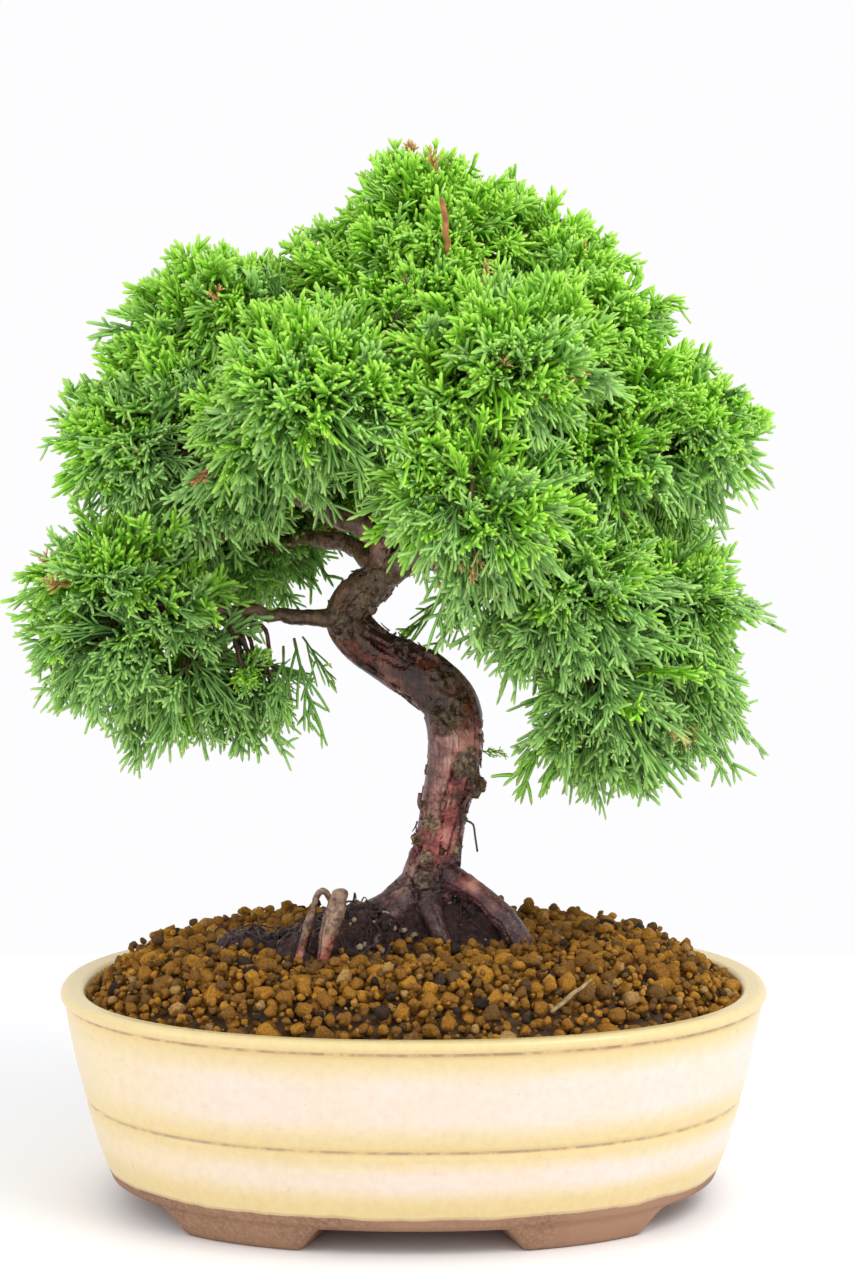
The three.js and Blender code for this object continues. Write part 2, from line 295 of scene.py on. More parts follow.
# the profile, as (half length, height): the underside stands this high on its feet
BASE_Z = 6.6
groove = [(92.9, 28.6), (92.6, 29.3), (92.35, 29.8), (92.5, 30.3), (93.05, 30.7), (93.5, 31.4)]
outside = (
    along((86.2, BASE_Z + 1.2), (92.9, 28.6), 26, 0.5)
    + groove
    + along((93.6, 31.8), (98.5, 55.4), 26, 0.35)
    + [(98.5, 55.6), (98.5, 56.4), (98.3, 57.1), (98.35, 57.6), (98.9, 57.9), (99.55, 58.2)]
)
lip_outside = arc((98.4, 59.4), 1.6, -18, 95, 10)
lip_inside = arc((94.9, 58.9), 1.85, 85, 178, 8)
lip = lip_outside + along((98.1, 61.05), (95.2, 60.8), 5) + lip_inside
floor_bend = along((86, 24), (78, 12.6), 6)
inside = along((92.9, 57.6), (86, 24), 16) + floor_bend + along((77.5, 12.2), (12, 12), 10)
under = [(12, BASE_Z), (40, BASE_Z), (63, BASE_Z)]


def ring_walls(rings, steps):
    """The faces between each ring of points and the next one."""
    start = np.arange(rings - 1)[:, None] * steps
    low = start + np.arange(steps)[None, :]
    after = start + (np.arange(steps)[None, :] + 1) % steps
    return np.stack([low, after, after + steps, low + steps], -1).reshape(-1, 4)


def pot_mesh():
    angle = np.linspace(0, 2 * np.pi, WALL_STEPS, endpoint=False)
    foot_x = np.abs(oval(84.5, angle)[0])
    front = np.abs(np.sin(angle))
    # 1 where a foot stands, 0 in the gaps, with flared ends
    foot = smoothstep(24.6, 31.6, foot_x) * smoothstep(69.5, 61.5, foot_x) * (front > 0.2)
    foot_outer = [(68.6, 0), (76, 0), (82.6, 0), (83.5, 0.12), (84.2, 0.3), (85.4, 0.78), (86.0, 1)]
    rings = []
    for r, z in under:
        rings.append((np.full(WALL_STEPS, r), np.full(WALL_STEPS, z)))
    for r, share in [(66.0, 1.0), (66.9, 0.62), (67.6, 0.12)] + foot_outer:
        # without a foot the same ring lies in the base's flat underside or its rounded edge
        flat_z = BASE_Z + 1.2 * smoothstep(84.3, 86.0, r)
        z = foot * share * flat_z + (1 - foot) * flat_z
        rings.append((np.full(WALL_STEPS, r), z))
    for r, z in outside + lip + inside:
        rings.append((np.full(WALL_STEPS, r), np.full(WALL_STEPS, z)))
    points = []
    for r, z in rings:
        x, y = oval(r, angle)
        points.append(np.stack([x, y, z], 1))
    return mesh_of("pot_body", np.concatenate(points), ring_walls(len(rings), WALL_STEPS))


def fill_loops(mesh):
    """Caps the open loops of a mesh, one flat face each."""
    shape = bmesh.new()
    shape.from_mesh(mesh)
    bmesh.ops.holes_fill(shape, edges=[e for e in shape.edges if e.is_boundary], sides=0)
    bmesh.ops.recalc_face_normals(shape, faces=shape.faces)
    shape.to_mesh(mesh)
    shape.free()


def cut_holes(piece, cutters):
    """Cuts each cutter mesh out of the piece."""
    for cutter in cutters:
        change = piece.modifiers.new("cut", "BOOLEAN")
        change.operation = "DIFFERENCE"
        change.object = cutter
        change.solver = "EXACT"
    bake_modifiers(piece)
    for cutter in cutters:
        bpy.data.objects.remove(cutter)


def bake_modifiers(piece):
    """Replaces the piece's mesh by what its modifiers make of it."""
    bpy.context.view_layer.update()
    seen = piece.evaluated_get(bpy.context.evaluated_depsgraph_get())
    made = bpy.data.meshes.new_from_object(seen)
    piece.modifiers.clear()
    old = piece.data
    piece.data = made
    bpy.data.meshes.remove(old)


HOLE_RADIUS = 10.0
HOLE_SPACING = 40.0
HOLE_STEPS = 64
CUT_FROM, CUT_TO = 2.0, 20.0


def hole_cutter(x):
    """A round rod through the floor, a little longer than the floor is thick."""
    angle = np.linspace(0, 2 * np.pi, HOLE_STEPS, endpoint=False)
    ring = np.stack([x + HOLE_RADIUS * np.cos(angle), HOLE_RADIUS * np.sin(angle)], 1)
    points = np.concatenate([np.c_[ring, np.full(HOLE_STEPS, z)] for z in (CUT_FROM, CUT_TO)])
    mesh = mesh_of("hole", points, ring_walls(2, HOLE_STEPS))
    fill_loops(mesh)
    return new_mesh_object("hole", mesh)


def glaze_and_clay():
    look = Look("cream_glaze_and_clay")
    place, height = look.place()
    broad = look.noise(place, 22, 3)
    fine = look.noise(place, 420, 4)
    speck = look.noise(place, 1500, 2)
    # the two bands of the wall are paler and pinker in their middles, less so at the left, where painted
    # shade darkens them
    upper_band = look.band(height, 31, 40, 48, 57)
    pale = look.larger(upper_band, look.band(height, 14, 21, 22.5, 29.5))
    pale = look.product(pale, look.total(broad, 0.35))
    # painted shade: the pale bands are dimmed and yellowed towards the left, the side away from the key light
    to_right = look.step("SeparateXYZ", "X", {0: place})
    pale = look.product(pale, look.slope(to_right, -100 * MM, -20 * MM, 0.35, 1.0))
    glaze = look.tones(pale, (0.0, 0.745, 0.59, 0.29), (0.45, 0.785, 0.645, 0.42), (0.95, 0.82, 0.695, 0.615))
    mottle = look.tones(fine, (0.30, 0.93, 0.90, 0.86), (0.62, 1.0, 1.0, 1.0))
    glaze = look.tinted(0.75, glaze, mottle)
    # tiny iron specks
    dots = look.slope(speck, 0.735, 0.77)
    glaze = look.mix(look.product(dots, 0.55), glaze, (0.30, 0.20, 0.12))

    def line(at, half, wobble):
        """A soft brown line round the pot at this height, a little uneven."""
        shifted = look.total(height, look.product(look.total(broad, -0.5), wobble * MM))
        return look.band(shifted, at - half, at - half * 0.2, at + half * 0.2, at + half)

    broken = look.slope(look.noise(place, 160, 4, 0.7), 0.34, 0.6)
    lip_line = look.product(line(57.5, 0.75, 0.5), broken)
    groove_line = look.product(line(29.9, 0.62, 0.3), broken)
    halo = look.larger(line(57.1, 2.2, 0.6), line(30.0, 1.7, 0.6))
    glaze = look.mix(look.product(halo, 0.35), glaze, (0.80, 0.56, 0.26))
    glaze = look.mix(look.product(lip_line, 0.8), glaze, (0.36, 0.22, 0.13))
    glaze = look.mix(look.product(groove_line, 0.75), glaze, (0.33, 0.26, 0.20))
    # bare clay below the glaze's uneven edge
    grain = look.noise(place, 900, 5, 0.65)
    clay = look.tones(grain, (0.30, 0.17, 0.085, 0.045), (0.55, 0.30, 0.165, 0.095), (0.75, 0.40, 0.25, 0.16))
    clay = look.mix(look.slope(broad, 0.35, 0.65), clay, (0.36, 0.20, 0.12))
    edge = look.product(look.total(look.noise(place, 70, 3), -0.5), 2.6 * MM)
    edge = look.total(edge, height)
    bare = look.slope(edge, 10.3 * MM, 10.8 * MM, 1, 0)
    rim = look.less(bare, look.slope(edge, 11.0 * MM, 11.6 * MM, 1, 0))
    glaze = look.mix(look.product(rim, -0.5), glaze, (0.45, 0.30, 0.20))
    colour = look.mix(bare, glaze, clay)
    look.set("Base Color", colour)
    rough = look.total(look.product(bare, 0.46), 0.24)
    rough = look.total(rough, look.product(fine, 0.12))
    look.set("Roughness", rough)
    look.set("IOR", 1.5)
    relief = look.mix(bare, fine, grain)
    look.bump(relief, 0.22, 0.6)
    return look.material


pot_shell = pot_mesh()
fill_loops(pot_shell)
pot = new_mesh_object("pot_body", pot_shell)
cut_holes(pot, [hole_cutter(-HOLE_SPACING), hole_cutter(HOLE_SPACING)])
pot.data.materials.clear()
pot.data.materials.append(glaze_and_clay())
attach(pot, "root")
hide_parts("pot")

# ---------------------------------------------------------------- drainage screens
# A square of green plastic mesh lies over each drainage hole, inside on the pot's floor, and
# keeps the soil in. Each is one moulded lattice.
SCREEN_HALF = 14.0
BAR_COUNT = 10
BAR_HALF = 0.6
BAR_INSET = 0.65
LOWER_BARS, UPPER_BARS = (12.5, 13.3), (12.9, 13.7)


def boxes_mesh(name, boxes):
    """One mesh of separate upright blocks, each given by its low and high corner."""
    points, faces = [], []
    for low, high in boxes:
        start = len(points)
        for corner in range(8):
            points.append([(high if corner >> axis & 1 else low)[axis] for axis in range(3)])
        for face in ((0, 2, 3, 1), (4, 5, 7, 6), (0, 1, 5, 4), (2, 6, 7, 3), (0, 4, 6, 2), (1, 3, 7, 5)):
            faces.append([start + corner for corner in face])
    return mesh_of(name, np.array(points), np.array(faces), smooth=False)


def screen_mesh(name, middle_x):
    bars = []
    for at in np.linspace(-SCREEN_HALF + BAR_INSET, SCREEN_HALF - BAR_INSET, BAR_COUNT):
        low, high = LOWER_BARS
        x = middle_x + at
        bars.append(((x - BAR_HALF, -SCREEN_HALF, low), (x + BAR_HALF, SCREEN_HALF, high)))
        low, high = UPPER_BARS
        left, right = middle_x - SCREEN_HALF, middle_x + SCREEN_HALF
        bars.append(((left, at - BAR_HALF, low), (right, at + BAR_HALF, high)))
    return boxes_mesh(name, bars)


screen_look = two_tone("screen_plastic", 700, 3, (0.012, 0.03, 0.016), (0.03, 0.06, 0.035), 0.5, 0.2, 0.2)
for side, middle_x in (("left", -HOLE_SPACING), ("right", HOLE_SPACING)):
    screen = new_mesh_object("screen_" + side, screen_mesh("screen_" + side, middle_x))
    screen.data.materials.append(screen_look.material)
    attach(screen, "root")
    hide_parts("drainage_screen_" + side)

# ---------------------------------------------------------------- screen clips
# A bent aluminium wire holds each screen down: a bar across the screen with two legs that go
# down through it and through the hole.


def turn_frames(path):
    """Two directions across a path at each of its points, turning as little as they can."""
    step = np.gradient(path, axis=0)
    step /= np.linalg.norm(step, axis=1)[:, None]
    across = np.zeros_like(path)
    first = np.cross(step[0], [0.0, 0.0, 1.0])
    if np.linalg.norm(first) < 0.2:
        first = np.cross(step[0], [0.0, 1.0, 0.0])
    across[0] = first / np.linalg.norm(first)
    for i in range(1, len(path)):
        way = across[i - 1] - step[i] * np.dot(across[i - 1], step[i])
        across[i] = way / max(np.linalg.norm(way), 1e-9)
    return across, np.cross(step, across)


def tube(path, radius, sides):
    """Points and triangles of a closed tube with pointed ends, and the step each point is at."""
    path = np.asarray(path, float)
    radius = np.broadcast_to(radius, len(path))
    across, other = turn_frames(path)
    angle = np.linspace(0, 2 * np.pi, sides, endpoint=False)
    ring = np.cos(angle)[None, :, None] * across[:, None] + np.sin(angle)[None, :, None] * other[:, None]
    points = (path[:, None] + ring * radius[:, None, None]).reshape(-1, 3)
    count = len(path)
    step = np.repeat(np.arange(count), sides)
    quads = ring_walls(count, sides)
    walls = np.concatenate([quads[:, [0, 1, 2]], quads[:, [0, 2, 3]]])
    ends = np.array([path[0] - (path[1] - path[0]) * 0.05, path[-1] + (path[-1] - path[-2]) * 0.25])
    first, last = len(points), len(points) + 1
    spin = np.arange(sides)
    top = (count - 1) * sides
    start_cap = np.stack([(spin + 1) % sides, spin, np.full(sides, first)], 1)
    end_cap = np.stack([top + spin, top + (spin + 1) % sides, np.full(sides, last)], 1)
    points = np.concatenate([points, ends])
    return points, np.concatenate([walls, start_cap, end_cap]), np.concatenate([step, [0, count - 1]])


def smooth_path(stations, spacing):
    """A smooth line through the stations (all their numbers), with steps about this long."""
    stations = np.asarray(stations, float)
    before, after = 2 * stations[0] - stations[1], 2 * stations[-1] - stations[-2]
    padded = np.concatenate([[before], stations, [after]])
    out = []
    for i in range(1, len(padded) - 2):
        a, b, c, d = padded[i - 1 : i + 3]
        steps = max(2, int(round(np.linalg.norm((c - b)[:3]) / spacing)))
        t = np.linspace(0, 1, steps, endpoint=False)[:, None]
        square, cube = 2 * a - 5 * b + 4 * c - d, 3 * b - a - 3 * c + d
        out.append(0.5 * (2 * b + (c - a) * t + square * t**2 + cube * t**3))
    out.append(stations[-1:])
    return np.concatenate(out)


clip_look = two_tone("clip_wire", 500, 4, (0.32, 0.32, 0.31), (0.62, 0.62, 0.60), 0.45, 0.15, 0.1)
clip_look.set("Metallic", 1.0)
for side, middle_x in (("left", -HOLE_SPACING), ("right", HOLE_SPACING)):
    clip_low, clip_high = (from_frame(corner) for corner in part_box("screen_clip_" + side))
    wire = (clip_high[1] - clip_low[1]) / 2
    reach = (clip_high[0] - clip_low[0]) / 2 - wire
    middle = (clip_high[0] + clip_low[0]) / 2
    bar_z, foot_z = clip_high[2] - wire, clip_low[2] + 0.2
    half_bend = [(reach, 0, foot_z), (reach, 0, bar_z - 1.5), (reach - 0.7, 0, bar_z - 0.2)]
    bend = [(middle - x, y, z) for x, y, z in half_bend] + [(middle, 0, bar_z)]
    bend += [(middle + x, y, z) for x, y, z in reversed(half_bend)]
    clip_points, clip_faces, _ = tube(smooth_path(bend, 0.5), wire * 0.98, 12)
    clip = new_mesh_object("clip_" + side, mesh_of("clip_" + side, clip_points, clip_faces))
    clip.data.materials.append(clip_look.material)
    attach(clip, "root")
    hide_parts("screen_clip_" + side)

# ---------------------------------------------------------------- soil
# Fired clay granules made for bonsai, 3 to 7 mm, ochre and brown with a few dark ones. They
# are poured in loose, press together lower down, and heap up towards the trunk.
SOIL_LENGTH, SOIL_WIDTH = 92.0, 72.0
SOIL_EDGE, SOIL_RISE = 58.6, 15.6
chance = np.random.default_rng(7)


def lattice_noise(points, size, seed=0):
    """Smooth random values, -1 to 1, that change over this many millimetres."""
    place = np.asarray(points, float) / size + 31.7 * (seed + 1)
    cell = np.floor(place).astype(np.int64)
    part = place - cell
    part = part * part * (3 - 2 * part)
    total = np.zeros(len(place))
    for corner in range(8):
        offset = np.array([corner & 1, corner >> 1 & 1, corner >> 2])
        x, y, z = (cell + offset).T
        number = x * 73856093 ^ y * 19349663 ^ z * 83492791 ^ (seed + 5) * 961748927
        number = (number ^ (number >> 13)) * 1274126177 & 0xFFFFFFFF
        number ^= number >> 16
        value = (number & 0xFFFF) / 32767.5 - 1
        total += value * np.prod(np.where(offset, part, 1 - part), axis=1)
    return total


def wander(points, size, seed):
    """A smooth random step in all three directions, for each point."""
    return np.stack([lattice_noise(points, size, seed + axis) for axis in range(3)], 1)


def soil_share(x, y):
    """0 in the middle of the soil, 1 at its edge."""
    long_part = (np.abs(x) / SOIL_LENGTH) ** POT_ROUNDNESS
    return (long_part + (np.abs(y) / SOIL_WIDTH) ** POT_ROUNDNESS) ** (1 / POT_ROUNDNESS)


def soil_top(x, y):
    swell = 1.3 * lattice_noise(np.stack([x, y, 0 * x], 1), 17, 3)
    share = soil_share(x, y)
    return SOIL_EDGE + SOIL_RISE * (1 - np.minimum(1, share) ** 6) + swell * (1 - share**4)


def over_roots(x, y, grow=0.0):
    """True where the root ball stands out of the soil."""
    near = np.zeros(np.shape(x), bool)
    for mx, my, a, b in ((0, 1, 28, 10.5), (17, -4, 17, 8.5), (-23, -13, 18, 17), (-43, -12, 17, 11)):
        near |= ((x - mx) / (a + grow)) ** 2 + ((y - my) / (b + grow)) ** 2 < 1
    return near


def ball(detail):
    shape = bmesh.new()
    bmesh.ops.create_icosphere(shape, subdivisions=detail, radius=1)
    points = np.array([vert.co for vert in shape.verts])
    faces = np.array([[vert.index for vert in face.verts] for face in shape.faces])
    shape.free()
    return points, faces


def granule(seed, detail):
    """One rounded lump with a few worn flats and a pitted skin."""
    points, faces = ball(detail)
    own = np.random.default_rng(seed)
    swell = 0.27 * lattice_noise(points, 0.95, seed) + 0.16 * lattice_noise(points, 0.45, seed + 1)
    if detail > 2:
        swell = swell + 0.11 * lattice_noise(points, 0.24, seed + 2)
    points = points * (1 + swell)[:, None]
    for _ in range(12):
        way = own.normal(size=3)
        way /= np.linalg.norm(way)
        past = points @ way - own.uniform(0.56, 0.84)
        points = points - np.outer(np.maximum(past, 0) * 0.92, way)
    return points, faces


def random_turns(count, rng):
    q = rng.normal(size=(count, 4))
    w, x, y, z = (q / np.linalg.norm(q, axis=1)[:, None]).T
    rows = [
        [1 - 2 * (y * y + z * z), 2 * (x * y - z * w), 2 * (x * z + y * w)],
        [2 * (x * y + z * w), 1 - 2 * (x * x + z * z), 2 * (y * z - x * w)],
        [2 * (x * z - y * w), 2 * (y * z + x * w), 1 - 2 * (x * x + y * y)],
    ]
    return np.array(rows).transpose(2, 0, 1)


def copies(shapes, which, turns, sizes, places):
    """Points and faces of many turned, sized copies, and the copy that each point belongs to."""
    all_points, all_faces, owner, start = [], [], [], 0
    for kind, (points, faces) in enumerate(shapes):
        chosen = np.flatnonzero(which == kind)
        if not len(chosen):
            continue
        sized = points[None] * sizes[chosen][:, None]
        moved = np.einsum("nij,npj->npi", turns[chosen], sized) + places[chosen][:, None]
        all_points.append(moved.reshape(-1, 3))
        shift = start + np.arange(len(chosen)) * len(points)
        all_faces.append((faces[None] + shift[:, None, None]).reshape(-1, faces.shape[1]))
        owner.append(np.repeat(chosen, len(points)))
        start += len(chosen) * len(points)
    return np.concatenate(all_points), np.concatenate(all_faces), np.concatenate(owner)


def put_values(mesh, name, values):
    """Stores one number per point on the mesh."""
    layer = mesh.attributes.new(name, "FLOAT", "POINT")
    layer.data.foreach_set("value", np.asarray(values, np.float32))


def spread_discs(tries, low, high, closeness, rng, allowed):
    """Random places in the pot, with radii between low and high, that hardly overlap."""
    found, grid, cell = [], {}, 2 * high * closeness
    x = rng.uniform(-SOIL_LENGTH, SOIL_LENGTH, tries)
    y = rng.uniform(-SOIL_WIDTH, SOIL_WIDTH, tries)
    radius = low + (high - low) * rng.uniform(0, 1, tries) ** 1.6
    inside = (soil_share(x, y) < 1.0) & allowed(x, y)
    for a, b, r in zip(x[inside], y[inside], radius[inside]):
        key = (int(a // cell), int(b // cell))
        near = [grid.get((key[0] + i, key[1] + j), ()) for i in (-1, 0, 1) for j in (-1, 0, 1)]
        discs = [disc for group in near for disc in group]
        if all((a - p) ** 2 + (b - q) ** 2 > ((r + s) * closeness) ** 2 for p, q, s in discs):
            grid.setdefault(key, []).append((a, b, r))
            found.append((a, b, r))
    return np.array(found)


def granule_clay():
    look = Look("fired_clay_granules")
    place, _ = look.place()
    stops = [
        (0.0, 0.045, 0.032, 0.030),
        (0.04, 0.070, 0.045, 0.036),
        (0.06, 0.170, 0.094, 0.036),
        (0.25, 0.270, 0.132, 0.032),
        (0.50, 0.380, 0.175, 0.030),
        (0.75, 0.490, 0.230, 0.036),
        (0.93, 0.600, 0.285, 0.040),
        (1.0, 0.520, 0.320, 0.125),
    ]
    colour = look.tones(look.stored("tint"), *stops)
    pits = look.noise(place, 1500, 5, 0.7)
    # painted shade: the skin is darkened in the pits of its relief
    pit_shade = look.tones(pits, (0.34, 0.40, 0.34, 0.28), (0.56, 1.0, 1.0, 0.95))
    look.set("Base Color", look.tinted(0.85, colour, pit_shade))
    look.set("Roughness", 0.85)
    look.set("Specular IOR Level", 0.1)
    look.bump(pits, 0.8, 1.1)
    return look.material


granule_material = granule_clay()


def add_granules(name, discs, depth, shapes, rng):
    """Lays one granule on each disc, this far below the soil's surface."""
    x, y, r = discs.T
    count = len(discs)
    z = soil_top(x, y) - depth - r * 0.5 + rng.uniform(-0.8, 0.8, count)
    sizes = r[:, None] * rng.uniform(0.80, 1.26, (count, 3))
    fine = len(shapes) * 3 // 5
    which = np.where(r > 1.9, rng.integers(0, fine, count), rng.integers(fine, len(shapes), count))
    points, faces, owner = copies(shapes, which, random_turns(count, rng), sizes, np.stack([x, y, z], 1))
    mesh = mesh_of(name, points, faces)
    put_values(mesh, "tint", rng.uniform(0, 1, count)[owner])
    mesh.materials.append(granule_material)
    granules = new_mesh_object(name, mesh)
    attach(granules, "root")
    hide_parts("soil")


fine_shapes = [granule(100 + n, 3) for n in range(18)]
plain_shapes = [granule(200 + n, 2) for n in range(12)]
granule_shapes = fine_shapes + plain_shapes
top_discs = spread_discs(22000, 1.15, 3.4, 0.80, chance, lambda x, y: ~over_roots(x, y, -3))
order = np.argsort(top_discs[:, 1])
for place, part in zip(("front", "middle", "back"), np.array_split(top_discs[order], 3)):
    add_granules("granules_" + place, part, 0.0, granule_shapes, chance)
lower_discs = spread_discs(9000, 1.5, 2.8, 0.74, chance, lambda x, y: ~over_roots(x, y, -8))
add_granules("granules_below", lower_discs, 3.0, plain_shapes, chance)


def off_the_edge(x, y):
    return (soil_share(x, y) < 0.9) & ~over_roots(x, y, -4)


stray_discs = spread_discs(520, 1.0, 2.6, 1.0, chance, off_the_edge)
add_granules("granules_on_top", stray_discs, -2.2, granule_shapes, chance)

crumb_shapes = [granule(400 + n, 1) for n in range(10)]
crumb_discs = spread_discs(6500, 0.5, 1.25, 1.0, chance, lambda x, y: ~over_roots(x, y, -6))
add_granules("soil_crumbs", crumb_discs, 0.8, crumb_shapes, chance)

# the packed soil underneath
bed_steps = 120
bed_angle = np.linspace(0, 2 * np.pi, bed_steps, endpoint=False)
bed_profile = [(10, 13.9), (74, 13.9), (79, 15), (85, 25), (90.4, 46), (91.6, 55.5)]
bed_profile += [(share * 92, None) for share in (0.97, 0.93, 0.88, 0.8, 0.7, 0.6, 0.5, 0.4, 0.3, 0.2, 0.1)]
bed_rings = []
for r, z in bed_profile:
    x, y = oval(r, bed_angle)
    bed_rings.append(np.stack([x, y, soil_top(x, y) - 5.0 if z is None else np.full(bed_steps, z)], 1))
bed_mesh = mesh_of("packed_soil", np.concatenate(bed_rings), ring_walls(len(bed_rings), bed_steps))
fill_loops(bed_mesh)
bed = new_mesh_object("packed_soil", bed_mesh)
bed_look = two_tone("packed_soil", 400, 5, (0.05, 0.028, 0.014), (0.16, 0.085, 0.035), 0.95, 0.8, 2, 0.7)
bed_mesh.materials.append(bed_look.material)
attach(bed, "root")
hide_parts("soil")

# ---------------------------------------------------------------- root ball
# The old root ball, lifted a little when it was repotted, stands out of the soil left of the
# trunk: nearly black peat held together by fine roots, with some crumbs and light specks.


def fuse(piece, voxel, smoothing):
    """Joins overlapping lumps of a piece into one skin, at this grid size in millimetres."""
    change = piece.modifiers.new("fuse", "REMESH")
    change.mode = "VOXEL"
    change.voxel_size = voxel * MM
    if smoothing:
        soften = piece.modifiers.new("soften", "SMOOTH")
        soften.factor, soften.iterations = 0.5, smoothing
    bake_modifiers(piece)


def points_of(mesh):
    flat = np.empty(len(mesh.vertices) * 3, np.float32)
    mesh.vertices.foreach_get("co", flat)
    return from_frame(flat.reshape(-1, 3))


def normals_of(mesh):
    flat = np.empty(len(mesh.vertices) * 3, np.float32)
    mesh.vertex_normals.foreach_get("vector", flat)
    return flat.reshape(-1, 3).astype(float)


def move_points(mesh, points):
    mesh.vertices.foreach_set("co", in_frame(points).astype(np.float32).ravel())
    mesh.update()


def joined(parts):
    """One array of points and one of faces from a list of (points, faces)."""
    points, faces, start = [], [], 0
    for some_points, some_faces in parts:
        points.append(some_points)
        faces.append(some_faces + start)
        start += len(some_points)
    return np.concatenate(points), np.concatenate(faces)


# the ball is these lumps: middle (x, y, z) and half sizes
ROOT_LUMPS = [
    (-12, -5, 55, 47, 36, 22.0),
    (-24, -14, 66, 18, 15.5, 12.5),
    (-43, -12, 66, 17, 11, 10.5),
    (-1, -3, 73, 14, 9.5, 12.5),
    (15, -5, 69, 17, 9, 11.5),
    (14, -6, 73, 11.5, 7, 11.0),
    (-14, -9, 72, 14, 10, 11.5),
    (-31, -26, 70, 8, 6.5, 9.0),
]


def ball_top(x, y):
    """Height of the root ball's surface over a place, or the soil's where that is higher."""
    top = soil_top(x, y) - 2.5
    for mx, my, mz, a, b, c in ROOT_LUMPS:
        left = np.maximum(0, 1 - ((x - mx) / a) ** 2 - ((y - my) / b) ** 2)
        top = np.maximum(top, np.where(left > 0, mz + c * np.sqrt(left), 0))
    return top


unit_points, unit_faces = ball(5)
lumps = [(unit_points * [a, b, c] + [mx, my, mz], unit_faces) for mx, my, mz, a, b, c in ROOT_LUMPS]
root_ball = new_mesh_object("root_ball_peat", mesh_of("root_ball_peat", *joined(lumps)))
fuse(root_ball, 0.9, 2)
skin, out = points_of(root_ball.data), normals_of(root_ball.data)
rise = 1.5 * lattice_noise(skin, 6, 11) + 0.9 * lattice_noise(skin, 2.4, 12)
rise += 0.45 * lattice_noise(skin, 1.1, 13)
skin = skin + out * rise[:, None]
skin[:, 2] = np.maximum(skin[:, 2], 33)
move_points(root_ball.data, skin)

look = Look("peat_and_roots")
peat = look.material
place, _ = look.place()
fibre_noise = look.noise(place, 900, 6, 0.75)
damp = look.noise(place, 130, 3)
colour = look.tones(
    fibre_noise,
    (0.30, 0.010, 0.007, 0.006), (0.52, 0.046, 0.020, 0.019), (0.68, 0.140, 0.066, 0.055),
    (0.80, 0.30, 0.22, 0.16),
)
colour = look.mix(look.product(look.slope(damp, 0.5, 0.7), 0.35), colour, (0.130, 0.034, 0.045))
colour = look.mix(look.stored("pale"), colour, (0.52, 0.42, 0.27))
look.set("Base Color", colour)
look.set("Roughness", 0.34)
look.bump(fibre_noise, 0.9, 1.4)
root_ball.data.materials.clear()
root_ball.data.materials.append(peat)
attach(root_ball, "root")
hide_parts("root_ball")

# fine roots and crumbs on it
fibres = []
for n in range(300):
    x, y = chance.normal(-18, 21), chance.normal(-10, 11)
    if not over_roots(np.array([x]), np.array([y]), 4)[0]:
        continue
    heading, curl = chance.uniform(0, 2 * np.pi), chance.normal(0, 0.16)
    steps = chance.integers(7, 15)
    line = []
    lift = chance.uniform(0, 1) ** 3 * 4.5
    for k in range(steps):
        heading += curl + chance.normal(0, 0.22)
        x, y = x + 1.1 * math.cos(heading), y + 1.1 * math.sin(heading)
        line.append([x, y, lift * math.sin(math.pi * k / (steps - 1))])
    line = np.array(line)
    line[:, 2] += ball_top(line[:, 0], line[:, 1]) + 0.8 * lattice_noise(line, 5, 9) + 0.5
    fibres.append(tube(line, np.linspace(0.34, 0.15, steps) * chance.uniform(0.7, 1.5), 5)[:2])
count = 900
x, y = chance.normal(-14, 22, count), chance.normal(-9, 12, count)
keep = over_roots(x, y, 4)
x, y = x[keep], y[keep]
count = len(x)
size = 0.4 + 1.2 * chance.uniform(0, 1, count) ** 2
z = ball_top(x, y) + 0.9 * lattice_noise(np.stack([x, y, 0 * x], 1), 6, 11) + 0.3
which, turns = chance.integers(0, len(plain_shapes), count), random_turns(count, chance)
sizes = np.repeat(size[:, None], 3, 1)
crumb_points, crumb_faces, crumb_owner = copies(plain_shapes, which, turns, sizes, np.stack([x, y, z], 1))
litter_mesh = mesh_of("fine_roots_and_crumbs", *joined([(crumb_points, crumb_faces)] + fibres))
litter = new_mesh_object("fine_roots_and_crumbs", litter_mesh)
pale = np.zeros(len(litter.data.vertices))
pale[: len(crumb_owner)] = (chance.uniform(0, 1, count) < 0.16)[crumb_owner]
put_values(litter.data, "pale", pale)
litter.data.materials.append(peat)
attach(litter, "root")
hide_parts("root_ball")

# ---------------------------------------------------------------- trunk
# One living stem that leans right, bends sharply back to the left and goes up to the top,
# with surface roots that grip the root ball. The bark is thin and comes off in long strips
# and flakes, grey-pink outside and smooth red under it, with rough brown burrs.
# the stem and its roots, as (x, y, z, radius)
TRUNK_LINE = [
    (2, 0, 60, 10.0), (2.6, 0, 70, 10.0), (3.6, 0, 81, 9.0), (4.6, 0, 91, 7.4), (6.6, -1, 101, 6.4),
    (8.8, -2, 112, 6.8), (11.0, -3, 122, 7.3), (12.0, -4, 132, 7.2), (10.0, -4, 140.5, 7.3),
    (3.2, -3, 147, 7.2), (-6.2, -1, 153, 6.8), (-14.2, 1, 158, 6.3), (-18.2, 2, 164, 5.9),
    (-15.4, 2, 170.5, 5.8), (-9.8, 1, 175.6, 5.2), (-8, 0, 182, 4.2), (-8.8, 0, 197, 3.8),
    (-7.2, 0, 217, 3.4), (-3, 0, 236, 2.8), (2, 0, 254, 2.1), (4, 0, 267, 1.3),
]
